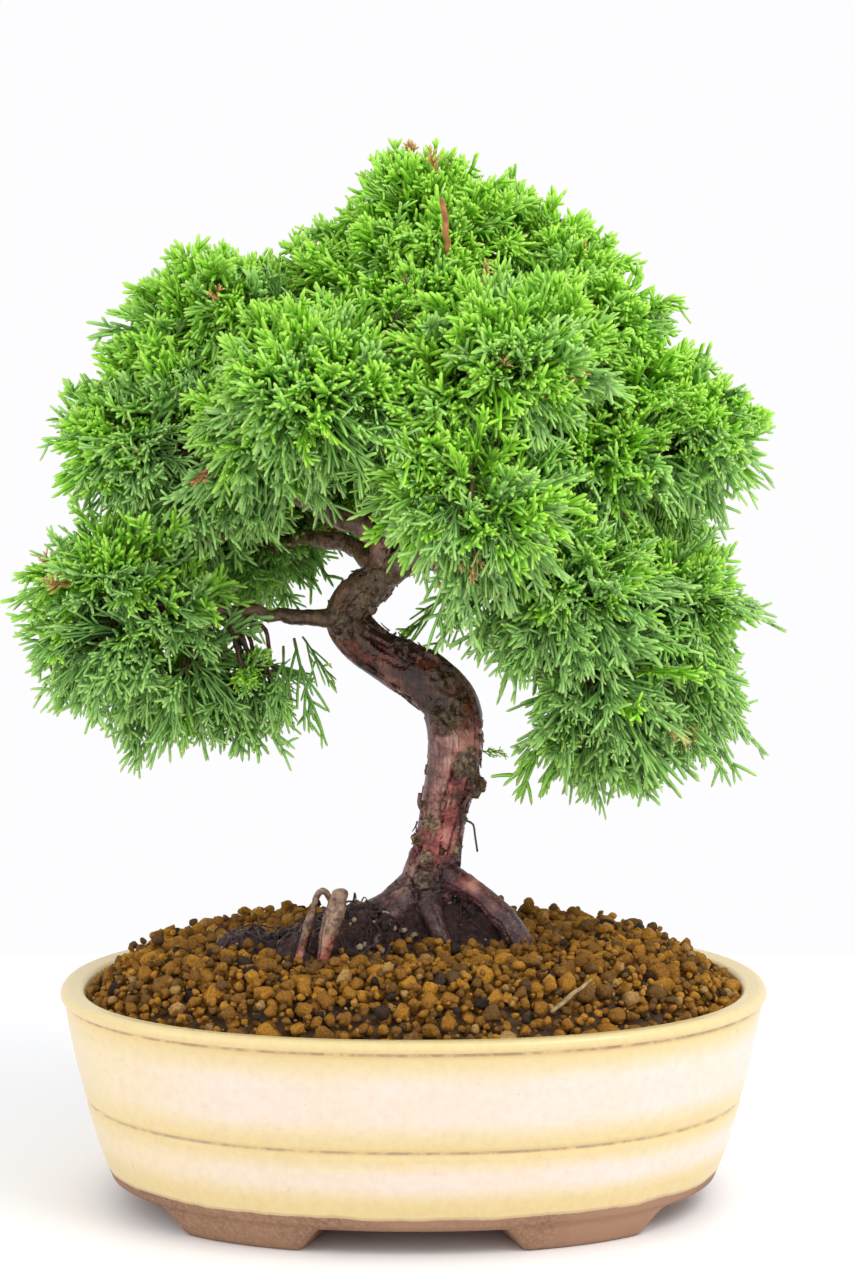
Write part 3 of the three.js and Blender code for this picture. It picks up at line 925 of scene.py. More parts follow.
ROOT_LINES = [
    [
        (6, -2, 93, 4.2), (12, -4, 90.6, 3.7), (19.3, -7, 86, 3.1), (25.3, -10, 81, 3.2),
        (29.5, -12, 75, 3.5), (31, -13, 68, 3.6),
    ],
    [(1, -2, 88, 5.0), (-7, -5, 84, 3.6), (-15, -7, 81, 2.7), (-24, -9, 78, 2.0), (-33, -11, 73, 1.4)],
    [(-1, -4, 86, 4.2), (-7, -11, 80, 2.8), (-12, -18, 72, 2.2)],
    [(4, -3, 87, 4.6), (5.5, -9.5, 81, 2.8), (9, -14, 73, 2)],
    [(6, 3, 88, 5), (11, 14, 81, 3.6), (16, 25, 71, 2.6)],
    [(0, 4, 86, 5), (-8, 15, 80, 3.2), (-15, 25, 71, 2.4)],
]


def bark_places(points, lines):
    """Each point's nearest line, how far along it lies and which way it faces round it."""
    samples, ways, others, radii, arcs = [], [], [], [], []
    for line in lines:
        path = smooth_path(line, 1.5)
        across, other = turn_frames(path[:, :3])
        samples.append(path[:, :3])
        ways.append(across)
        others.append(other)
        radii.append(path[:, 3])
        steps = np.linalg.norm(np.diff(path[:, :3], axis=0), axis=1)
        arcs.append(np.concatenate([[0], np.cumsum(steps)]) + 400 * len(arcs))
    samples, ways, others = np.concatenate(samples), np.concatenate(ways), np.concatenate(others)
    radii, arcs = np.concatenate(radii), np.concatenate(arcs)
    nearest = np.empty(len(points), int)
    for start in range(0, len(points), 8000):
        part = points[start : start + 8000]
        gap = np.linalg.norm(part[:, None] - samples[None], axis=2) - radii[None]
        nearest[start : start + 8000] = gap.argmin(1)
    away = points - samples[nearest]
    angle = np.arctan2((away * others[nearest]).sum(1), (away * ways[nearest]).sum(1))
    return arcs[nearest], angle, radii[nearest]


def bark_relief(points, lines, patches):
    """How far the bark stands out at each point, with its plate, crack and burr shares."""
    along_it, angle, radius = bark_places(points, lines)
    girth = np.maximum(radius, 2.0)
    round_it = np.cos(angle) * girth, np.sin(angle) * girth

    def strips(size, stretch, seed):
        return lattice_noise(np.stack([*round_it, along_it / stretch], 1), size, seed)

    weight = np.clip(radius / 7.0, 0.25, 1.0)
    plates = strips(5.6, 2.8, 21) + 0.40 * strips(2.4, 3.0, 22) + 0.20 * lattice_noise(points, 1.6, 23)
    plate = smoothstep(-0.06, 0.10, plates)
    crack = smoothstep(0.13, 0.0, np.abs(strips(4.2, 5.5, 24) + 0.2 * strips(1.6, 3, 25)))
    fibre = strips(1.25, 9.0, 26)
    swell = strips(9.0, 1.6, 27)
    burr = np.zeros(len(points))
    for x, y, z, reach in patches:
        gap = np.linalg.norm(points - [x, y, z], axis=1)
        burr = np.maximum(burr, smoothstep(reach, reach * 0.35, gap))
    rough = 0.8 * lattice_noise(points, 1.7, 28) + 0.7 * lattice_noise(points, 0.9, 29)
    relief = weight * (0.95 * swell + 0.75 * plate - 0.95 * crack * (1 - burr) + 0.04 * fibre)
    return relief + burr * (0.35 + 1.1 * rough), plate, crack, burr


def limb(line, spacing, sides):
    """Points and faces of a round limb along a list of (x, y, z, radius)."""
    path = smooth_path(line, spacing)
    return tube(path[:, :3], path[:, 3], sides)[:2]


trunk_parts = [limb(TRUNK_LINE, 1.2, 28)] + [limb(line, 1.2, 16) for line in ROOT_LINES]
# burrs, old pruning scars and the stumps of small branches
BURRS = [
    (18.0, -4.5, 116.5, 2.1), (19.6, -5, 118.2, 1.4), (16.0, -8, 122.5, 2.2), (15.2, -9, 126.5, 1.9),
    (9.8, -10.6, 136.5, 2.5), (0.2, -5, 102.5, 1.5), (4.2, -7.4, 107.5, 1.9), (15.0, -3, 108, 1.3),
    (2.0, -6.0, 112.0, 1.4), (-20.5, -3, 163, 3.0), (-4, -6.5, 157, 2.2), (-12, -5.0, 170, 2.6),
    (3.0, -7.6, 97, 1.7), (11.6, -5, 99, 1.3),
]
for x, y, z, r in BURRS:
    for bit in range(6):
        burr_points, burr_faces = granule(int(300 + z * 10) + bit, 3)
        middle = np.array([x - 0.8 * np.sign(x - 9), y + 0.6, z]) + chance.normal(0, r * 0.55, 3)
        trunk_parts.append((burr_points * [1, 1, 1.2] * r * 0.62 + middle, burr_faces))
trunk = new_mesh_object("trunk_wood", mesh_of("trunk_wood", *joined(trunk_parts)))
fuse(trunk, 0.62, 3)
skin, out = points_of(trunk.data), normals_of(trunk.data)
rough_patches = [(x, y, z, r * 2.1) for x, y, z, r in BURRS]
rough_patches += [(10, -11, 139, 6.5), (14, -10, 124, 5), (2, -9, 90, 7), (8, -9, 148, 5)]
relief, plate, crack, burr = bark_relief(skin, [TRUNK_LINE] + ROOT_LINES, rough_patches)
move_points(trunk.data, skin + out * relief[:, None])
put_values(trunk.data, "plate", plate)
put_values(trunk.data, "crack", crack)
put_values(trunk.data, "burr", burr)


def bark_material(name, damp_below, red):
    look = Look(name)
    place, height = look.place()
    broad = look.noise(place, 75, 3)
    fine = look.noise(place, 620, 6, 0.7)
    # the fibres run up the stem, so their noise is squeezed along the height
    squeezed = look.step("Mapping", "Vector", {"Vector": place, "Scale": (1, 1, 0.16)})
    fibre = look.noise(squeezed, 1100, 4, 0.65)
    under = look.tones(
        broad,
        (0.38, 0.15 * red, 0.030, 0.030), (0.50, 0.33 * red, 0.095, 0.080),
        (0.62, 0.56, 0.250, 0.200),
    )
    weave = look.total(look.product(fibre, 0.35), look.product(broad, 0.65))
    outer = look.tones(
        weave,
        (0.38, 0.13, 0.045, 0.036), (0.50, 0.34, 0.155, 0.125), (0.62, 0.66, 0.430, 0.380),
    )
    crust = look.tones(
        fine,
        (0.34, 0.075, 0.045, 0.025), (0.54, 0.24, 0.160, 0.085), (0.72, 0.46, 0.350, 0.190),
    )
    colour = look.mix(look.stored("plate"), under, outer)
    streak = look.tones(fibre, (0.36, 0.45, 0.34, 0.32), (0.55, 1.0, 1.0, 1.0))
    colour = look.tinted(0.08, colour, streak)
    blotch = look.noise(place, 240, 4, 0.6)
    blotch = look.tones(blotch, (0.40, 0.40, 0.24, 0.22), (0.50, 1.0, 0.92, 0.90), (0.64, 1.30, 1.28, 1.26))
    colour = look.tinted(0.8, colour, blotch)
    colour = look.mix(look.stored("burr"), colour, crust)
    soot = look.tones(look.product(broad, fine), (0.19, 0.22, 0.15, 0.13), (0.26, 1.0, 1.0, 1.0))
    colour = look.tinted(0.75, colour, soot)
    # painted shade: round the bend and up into the branches the bark is darkened, partly its own darker brown
    # and partly the shadow the foliage casts there
    bend_shade_and_dark_bark = look.band(height, 128, 142, 168, 185)
    colour = look.tinted(look.product(bend_shade_and_dark_bark, 0.85), colour, (0.26, 0.18, 0.11))
    high = look.slope(height, 150 * MM, 178 * MM)
    colour = look.mix(look.product(high, 0.5), colour, crust)
    # the cracks are painted near black: partly the dark bark deep in them, partly painted shade in the
    # crevices
    colour = look.mix(look.product(look.stored("crack"), 0.85), colour, (0.035, 0.014, 0.012))
    # the foot of the stem and the roots are damp and stained by the peat
    stained = look.total(height, look.product(look.total(broad, -0.5), 30 * MM))
    stain = look.slope(stained, (damp_below - 14) * MM, damp_below * MM, 1, 0)
    dark = look.tones(
        fine,
        (0.40, 0.012, 0.006, 0.008), (0.56, 0.070, 0.026, 0.030), (0.72, 0.27, 0.165, 0.160),
    )
    colour = look.mix(look.product(stain, 0.88), colour, dark)
    look.set("Base Color", colour)
    rough = look.total(look.product(look.stored("plate"), 0.12), 0.13)
    look.set("Roughness", look.total(rough, look.product(fine, 0.2)))
    relief = look.mix(0.08, fine, fibre)
    look.bump(relief, 0.55, 0.6)
    return look.material


trunk_bark = bark_material("trunk_bark", 99, 1.25)
trunk.data.materials.clear()
trunk.data.materials.append(trunk_bark)
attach(trunk, "root")
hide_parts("trunk")

# flakes and threads of bark that have come loose and stand off the stem
flakes = []
trunk_path = smooth_path(TRUNK_LINE, 1.0)
trunk_across, trunk_other = turn_frames(trunk_path[:, :3])
for n in range(260):
    at = chance.integers(22, 150)
    turn = chance.uniform(0, 2 * np.pi)
    way = math.cos(turn) * trunk_across[at] + math.sin(turn) * trunk_other[at]
    ahead = trunk_path[at + 1, :3] - trunk_path[at, :3]
    length = chance.uniform(1.2, 4.2)
    side = np.cross(way, ahead)
    side /= np.linalg.norm(side)
    start = trunk_path[at, :3] + way * (trunk_path[at, 3] - 0.3)
    steps = 5
    k = np.linspace(0, 1, steps)[:, None]
    lift = chance.uniform(0.1, 1.0) ** 2 * 1.8
    line = start + ahead * length * k * chance.choice([-1, 1]) + way * (0.3 + lift * k**2)
    line = line + side * chance.normal(0, 0.6) * k
    flake_points, flake_faces, _ = tube(line, np.linspace(0.75, 0.28, steps) * chance.uniform(0.6, 1.3), 6)
    middle = flake_points.mean(0)
    flat = (flake_points - middle) @ way
    flakes.append((flake_points - np.outer(flat, way) * 0.55, flake_faces))
# one dead thorn-like twig hangs at the right, one spur stands at the left
thorn = [(15.2, -6, 107.5), (16.8, -6.6, 106.6), (17.4, -6.8, 103), (18.0, -6.8, 99)]
spur = [(3.4, -6.5, 109.5), (1.7, -6.6, 112.2), (1.9, -6.8, 115.5)]
flakes.append(tube(smooth_path(thorn, 0.8), 0.3, 6)[:2])
flakes.append(tube(smooth_path(spur, 0.8), 0.7, 6)[:2])
flake_mesh = mesh_of("loose_bark", *joined(flakes))
put_values(flake_mesh, "plate", np.ones(len(flake_mesh.vertices)))
put_values(flake_mesh, "burr", np.full(len(flake_mesh.vertices), 0.25))
flake_mesh.materials.append(trunk_bark)
loose_bark = new_mesh_object("loose_bark", flake_mesh)
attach(loose_bark, "root")
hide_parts("trunk")

# ---------------------------------------------------------------- old roots
# Dead roots of the old root ball that stand up in the air at its front left: a split stub, a
# thin root that loops over, and a knobbly one. They are dry and grey, with some red.
OLD_ROOTS = {
    "root_stub": [
        (-20.2, -26, 90.5, 1.9), (-21.6, -28, 86.5, 2.7), (-23.2, -30.5, 80, 2.6),
        (-25, -33, 72.5, 1.3),
    ],
    "root_loop": [
        (-28.6, -24, 71, 0.9), (-28, -24, 82, 0.85), (-26.8, -23.6, 88.6, 0.8),
        (-24.9, -23, 90.6, 0.8), (-23.0, -22.6, 88, 0.75), (-22.6, -22.6, 85, 0.6),
    ],
    "root_knob": [
        (-28.0, -28.0, 85.6, 0.8), (-28.8, -28.6, 82.5, 1.3), (-30.2, -29.4, 78, 1.2),
        (-32.0, -30.4, 70, 1.6),
    ],
}
old_root_skin = bark_material("old_root_skin", 60, 1.3)
for node, line in OLD_ROOTS.items():
    root_parts = [limb(line, 0.6, 14)]
    if node == "root_stub":
        split_side = [(-21, -29, 86), (-22.5, -31.5, 80), (-25.2, -33.8, 74)]
        root_parts.append(tube(split_side, [1.5, 1.5, 0.7], 12)[:2])
        root_parts.append((unit_points * [2.2, 2.0, 1.5] + [-20.2, -26.2, 90.3], unit_faces))
    root = new_mesh_object(node + "_wood", mesh_of(node, *joined(root_parts)))
    fuse(root, 0.3, 2)
    skin, out = points_of(root.data), normals_of(root.data)
    relief, _, crack, _ = bark_relief(skin, [line], [])
    move_points(root.data, skin + out * (relief * 0.9 + 0.12 * lattice_noise(skin, 0.9, 33))[:, None])
    put_values(root.data, "plate", smoothstep(78, 82, skin[:, 2] + 4 * lattice_noise(skin, 3, 34)))
    put_values(root.data, "crack", crack)
    put_values(root.data, "burr", np.full(len(skin), 0.7) * smoothstep(70, 82, skin[:, 2]))
    root.data.materials.clear()
    root.data.materials.append(old_root_skin)
    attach(root, "root")
    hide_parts(node)

# ---------------------------------------------------------------- branches
# Fifteen branches leave the trunk from its bend upwards, each thin, crooked and flaky, and
# each feeding one or two masses of shoots. They are living wood, grown from the trunk.
BRANCH_LINES = {
    "branch_left_low": [
        (-15, 1, 164.5, 3.4), (-29, -1, 166.2, 2.4), (-46, -4, 167, 1.7), (-66, -7, 168, 1.3),
        (-88, -8, 172, 0.9),
    ],
    "branch_left_mid": [
        (-8, -1, 187, 3.6), (-19, -5, 192, 3.1), (-29, -8, 197, 2.7), (-48, -8, 205, 1.8),
        (-80, -3, 214, 1),
    ],
    "branch_right_low": [
        (-10, 0, 176, 4.2), (2, -6, 181, 3.8), (20, -14, 181, 2.9), (40, -20, 172, 2),
        (50, -24, 152, 1.1),
    ],
    "branch_right_outer": [(-8, 0, 186, 3), (16, 6, 194, 2.5), (46, 6, 186, 1.9), (76, 3, 166, 1.1)],
    "branch_right_shoulder": [(-8, 0, 204, 2.8), (18, 3, 212, 2.2), (48, 3, 215, 1.7), (80, 0, 219, 1)],
    "branch_front_low": [(-8, -1, 192, 2.6), (2, -22, 195, 2.1), (10, -40, 196, 1.5), (18, -58, 196, 0.9)],
    "branch_front_left": [(-7, -1, 212, 2.6), (-14, -16, 220, 2), (-22, -30, 227, 1.5), (-32, -44, 231, 0.9)],
    "branch_front_right": [(-5, -1, 222, 2.4), (6, -16, 230, 1.9), (16, -30, 236, 1.4), (27, -46, 240, 0.9)],
    "branch_top_left": [(-4, 0, 232, 2.2), (-22, 4, 244, 1.8), (-42, 8, 252, 1.3), (-64, 10, 257, 0.9)],
    "branch_top_right": [(-2, 0, 238, 2.1), (18, 1, 248, 1.7), (38, 1, 254, 1.3), (58, 0, 258, 0.9)],
    "branch_back_left": [(-9, 1, 179, 3), (-24, 16, 184, 2.3), (-42, 32, 184, 1.7), (-62, 48, 180, 1)],
    "branch_back_right": [(-8, 1, 183, 3), (12, 18, 184, 2.3), (32, 34, 181, 1.7), (54, 50, 174, 1)],
    "branch_back_mid": [(-9, 1, 200, 2.6), (-8, 20, 206, 2), (-6, 38, 208, 1.5), (-4, 62, 206, 0.9)],
    "branch_back_top_left": [
        (-7, 1, 218, 2.3), (-18, 16, 230, 1.8), (-30, 30, 237, 1.3), (-42, 44, 240, 0.9),
    ],
    "branch_back_top_right": [(-5, 1, 226, 2.2), (10, 16, 234, 1.7), (24, 30, 240, 1.3), (38, 44, 242, 0.9)],
}
branch_bark = bark_material("branch_bark", 20, 0.9)
branch_samples = {}
branch_parts = {}
for node, line in BRANCH_LINES.items():
    path = smooth_path(line, 0.8)
    # small kinks, growing from nothing at the trunk
    grown = smoothstep(0, 12, np.arange(len(path)) * 0.8)[:, None]
    kinks = wander(path[:, :3], 11, 40) + 0.35 * wander(path[:, :3], 4, 43)
    path[:, :3] += 2.2 * grown * kinks
    branch_samples[node] = path[:, :3]
    radius = path[:, 3] * (1 + 0.10 * lattice_noise(path[:, :3], 5, 50))
    branch_parts[node] = [tube(path[:, :3], radius, 16)[:2]]

# ---------------------------------------------------------------- shoots
# The leaves are tiny scales pressed on round green cords about 1.3 mm thick. The cords fork
# again and again in flat sprays. New growth at the top is short, stubby and yellow-green,
# older sprays below are longer, looser and blue-green. A few old ones have died orange-brown.
# Each mass is a few lumps: middle (x, y, z) and half sizes.
SHOOT_MASSES = {
    "foliage_front_left": [(-27, -38, 229, 29, 27, 25), (-40, -30, 212, 20, 20, 18)],
    "foliage_front_right": [(24, -42, 238, 29, 26, 25), (10, -44, 222, 18, 18, 18)],
    "foliage_front_low": [(17, -56, 195, 26, 20, 20), (4, -50, 204, 16, 16, 16)],
    "foliage_right_low": [(40, -27, 171, 31, 27, 25), (50, -24, 139, 24, 21, 27)],
    "foliage_left_low": [
        (-84, -8, 171, 28, 34, 25), (-62, -10, 143, 21, 24, 20), (-84, -8, 150, 19, 24, 17),
        (-66, -18, 158, 14, 15, 14), (-45, -12, 141, 13, 15, 16),
    ],
    "foliage_crown": [
        (5, 2, 276, 31, 32, 20), (1, 1, 289, 15, 15, 10), (-8, 4, 262, 26, 26, 16),
        (0, -20, 252, 17, 16, 16),
    ],
    "foliage_top_left": [(-54, 9, 255, 27, 29, 17), (-67, 4, 240, 15, 20, 13)],
    "foliage_top_right": [(47, 2, 250, 23, 31, 20), (37, 4, 266, 17, 22, 13)],
    "foliage_left_shoulder": [
        (-80, 2, 213, 24, 32, 20), (-64, 4, 228, 20, 26, 16), (-58, 0, 200, 22, 24, 16),
    ],
    "foliage_right_shoulder": [
        (74, 2, 217, 27.5, 34, 20), (56, 0, 228, 22, 28, 18), (46, -20, 209, 21, 20, 19),
    ],
    "foliage_right_outer": [(77, 4, 166, 21, 32, 22), (79, 2, 144, 15, 24, 22), (66, -8, 148, 14, 18, 22)],
    "foliage_back_left": [(-58, 48, 180, 34, 30, 22), (-46, 52, 196, 24, 26, 16)],
    "foliage_back_right": [(50, 50, 176, 34, 30, 24), (62, 46, 192, 22, 26, 18)],
    "foliage_back_mid": [(-4, 60, 206, 34, 26, 25)],
    "foliage_back_top_left": [(-38, 42, 238, 31, 28, 24)],
    "foliage_back_top_right": [(36, 42, 240, 32, 28, 25)],
}


def grow_cord(start, way, lift_way, length, thickness, bend, least=3):
    """The line and thickness of one scaly cord, curving towards lift_way by the bend."""
    steps = max(least, int(round(length / 2.5)) + 1)
    t = np.linspace(0, 1, steps)[:, None]
    line = start + way * length * t + lift_way * bend * length * t**2
    radius = thickness * (1 + 0.09 * np.where(np.arange(steps) % 2, 1, -1))
    radius[-1] = thickness * 0.85
    return line, radius


def leaning(turn, tilt):
    """The way a cord goes that turns off +X by one angle and out of the flat by the other."""
    across = math.sin(turn)
    return np.array([math.cos(turn), across * math.cos(tilt), across * math.sin(tilt)])


def grow_spray(seed, length, twigs, twig_length, angle, forks, fork_length, thickness, flatness):
    """A forked spray of cords along +X and the age of each point, 0 at its foot to 1 at tips."""
    rng = np.random.default_rng(seed)
    parts, ages = [], []

    def add(line, radius, first_age, last_age):
        points, faces, step = tube(line, radius, 3)
        parts.append((points, faces))
        share = step / max(step.max(), 1)
        ages.append(first_age + (last_age - first_age) * share**1.6)

    ahead = np.array([1.0, 0, 0])
    sway = np.array([0, rng.normal(0, 0.07), -0.05])
    main, main_radius = grow_cord(np.zeros(3), ahead, sway, length, thickness * 1.1, 1.0)
    add(main, main_radius, 0.0, 0.95)
    for n in range(twigs):
        share = 0.14 + 0.84 * (n + rng.uniform(0.05, 0.95)) / twigs
        at = share * (len(main) - 1)
        low = int(at)
        start = main[low] + (main[min(low + 1, len(main) - 1)] - main[low]) * (at - low)
        side = 1 if n % 2 else -1
        turn = side * math.radians(rng.normal(angle, 7))
        tilt = rng.normal(0, flatness)
        way = leaning(turn, tilt)
        own_length = twig_length * (1.0 - 0.55 * share) * rng.uniform(0.65, 1.2)
        sway = np.array([1.0, -side * 0.25, rng.normal(0, 0.15)])
        line, radius = grow_cord(start, way, sway, own_length, thickness, 0.22)
        foot_age = 0.06 + 0.50 * share
        add(line, radius, foot_age, min(1.0, foot_age + 0.45 + rng.uniform(0, 0.25)))
        for m in range(rng.poisson(forks)):
            spot = rng.uniform(0.25, 0.97)
            k = min(int(spot * (len(line) - 1)), len(line) - 2)
            fork_side = 1 if m % 2 else -1
            fork_turn = turn + fork_side * math.radians(rng.normal(38, 9))
            fork_tilt = tilt + rng.normal(0, 0.5)
            fork_way = leaning(fork_turn, fork_tilt)
            own_length = fork_length * rng.uniform(0.55, 1.35)
            twig, twig_radius = grow_cord(line[k], fork_way, ahead, own_length, thickness * 0.93, 0.1, 2)
            add(twig, twig_radius, foot_age + 0.3 * spot, min(1.0, foot_age + 0.58 + 0.2 * spot))
    points, faces = joined(parts)
    return points, faces, np.clip(np.concatenate(ages), 0, 1)


KINDS = 20
SHORT_LENGTHS = [15 + 2.5 * (n % 4) for n in range(KINDS)]
LONG_LENGTHS = [22 + 3.0 * (n % 4) for n in range(KINDS)]
short_sprays = [grow_spray(500 + n, SHORT_LENGTHS[n], 9, 9.5, 38, 2.0, 3.4, 0.64, 0.6) for n in range(KINDS)]
long_sprays = [grow_spray(600 + n, LONG_LENGTHS[n], 8, 15.0, 27, 1.5, 4.8, 0.57, 0.4) for n in range(KINDS)]
SPRAYS = short_sprays + long_sprays
SPRAY_REACH = np.array([spray[0][:, 0].max() for spray in SPRAYS])


def lump_field(points, lumps):
    """How deep each point lies in the nearest lump: below 1 inside, above 1 outside."""
    depth = np.full(len(points), 9.0)
    for x, y, z, a, b, c in lumps:
        depth = np.minimum(depth, np.sqrt((((points - [x, y, z]) / [a, b, c]) ** 2).sum(1)))
    return depth


def surface_places(lumps, others, spacing, rng):
    """Evenly spread points on the outside of a mass, away from its neighbours' insides."""
    places, outward = [], []
    for x, y, z, a, b, c in lumps:
        ways = rng.normal(size=(900, 3))
        ways /= np.linalg.norm(ways, axis=1)[:, None]
        places.append(ways * [a, b, c] + [x, y, z])
        way = ways / [a, b, c]
        outward.append(way / np.linalg.norm(way, axis=1)[:, None])
    places, outward = np.concatenate(places), np.concatenate(outward)
    # where masses meet, the shoots grow on and round off the crease between them
    for _ in range(12):
        fullness = sum(np.exp(-3.2 * (lump_field(places, [lump]) - 1)) for lump in lumps + others)
        places = places + outward * np.clip(fullness - 1.0, 0, 1)[:, None] * 1.0
    free = (lump_field(places, lumps) > 0.985) & (lump_field(places, others) > 0.96)
    places, outward = places[free], outward[free]
    chosen = []
    for n in rng.permutation(len(places)):
        if all(((places[n] - places[m]) ** 2).sum() > spacing**2 for m in chosen):
            chosen.append(n)
    return places[chosen], outward[chosen]


def aim_turns(ways, rolls, faces_up):
    """Turns that take +X to each way and +Z near faces_up, rolled round the way."""
    z = faces_up - ways * (faces_up * ways).sum(1)[:, None]
    z /= np.maximum(np.linalg.norm(z, axis=1), 1e-6)[:, None]
    y = np.cross(z, ways)
    c, s = np.cos(rolls)[:, None], np.sin(rolls)[:, None]
    return np.stack([ways, y * c + z * s, z * c - y * s], 2)


def shoot_material():
    look = Look("juniper_shoots")
    place, _ = look.place()
    age, tint = look.stored("age"), look.stored("tint")
    old = look.tones(
        age,
        (0.0, 0.100, 0.110, 0.025), (0.12, 0.100, 0.220, 0.045), (0.45, 0.200, 0.420, 0.105),
        (0.85, 0.300, 0.570, 0.155), (1.0, 0.380, 0.670, 0.180),
    )
    fresh = look.tones(
        age,
        (0.0, 0.130, 0.190, 0.015), (0.12, 0.110, 0.340, 0.012), (0.45, 0.205, 0.530, 0.025),
        (0.85, 0.310, 0.700, 0.050), (1.0, 0.430, 0.820, 0.100),
    )
    dead = look.tones(age, (0.0, 0.22, 0.085, 0.040), (0.6, 0.52, 0.230, 0.090), (1.0, 0.68, 0.420, 0.170))
    colour = look.mix(look.slope(tint, 0.1, 0.95), old, fresh)
    colour = look.mix(look.slope(tint, 0.03, 0.05, 1, 0), colour, dead)
    look.set("Base Color", colour)
    look.set("Roughness", 0.42)
    look.set("Specular IOR Level", 0.22)
    look.set("Subsurface Weight", 0.35)
    look.set("Subsurface Radius", (0.6, 1.0, 0.25))
    look.set("Subsurface Scale", 0.0025)
    scales = look.noise(place, 2600, 2)
    look.bump(scales, 0.25, 0.3)
    return look.material


def colour_map(mesh, across, up):
    """A flat layout of the mesh by its two colour values, for painting it onto one sheet."""
    corners = np.empty(len(mesh.loops), np.int32)
    mesh.loops.foreach_get("vertex_index", corners)
    side = (np.arange(len(across)) % 3 - 1) * 0.005
    places = np.stack([0.02 + 0.94 * across + side, 0.02 + 0.96 * up], 1)[corners]
    mesh.uv_layers.new(name="OFBake").data.foreach_set("uv", places.astype(np.float32).ravel())


shoots_green = shoot_material()
# Single shoots in places of their own: (foot, way, kind, size, tint)
LONE_SHOOTS = {
    "foliage_left_low": [
        ((-33, -14, 160), (0.22, -0.1, -1), 21, 0.85, 0.35),
        ((-31, -10, 160), (0.75, 0.0, -1), 24, 0.62, 0.40),
        ((-36, -16, 158), (0.02, -0.2, -1), 26, 0.72, 0.30),
    ],
    "foliage_right_low": [((18.4, -6, 127.6), (1, -0.1, -0.12), 3, 0.32, 0.95)],
    "foliage_back_right": [
        ((16, 28, 174), (-0.75, -0.1, -0.55), 22, 0.8, 0.6),
        ((18, 28, 170), (-0.6, 0.1, -0.8), 27, 0.7, 0.5),
    ],
}


def feeding_stem(node):
    """The line of the wood that a mass of shoots grows from, and the piece it belongs to."""
    if node == "foliage_crown":
        return "trunk", trunk_path[-60:, :3]
    branch = node.replace("foliage", "branch")
    branch = {"branch_left_shoulder": "branch_left_mid"}.get(branch, branch)
    return branch, branch_samples[branch]


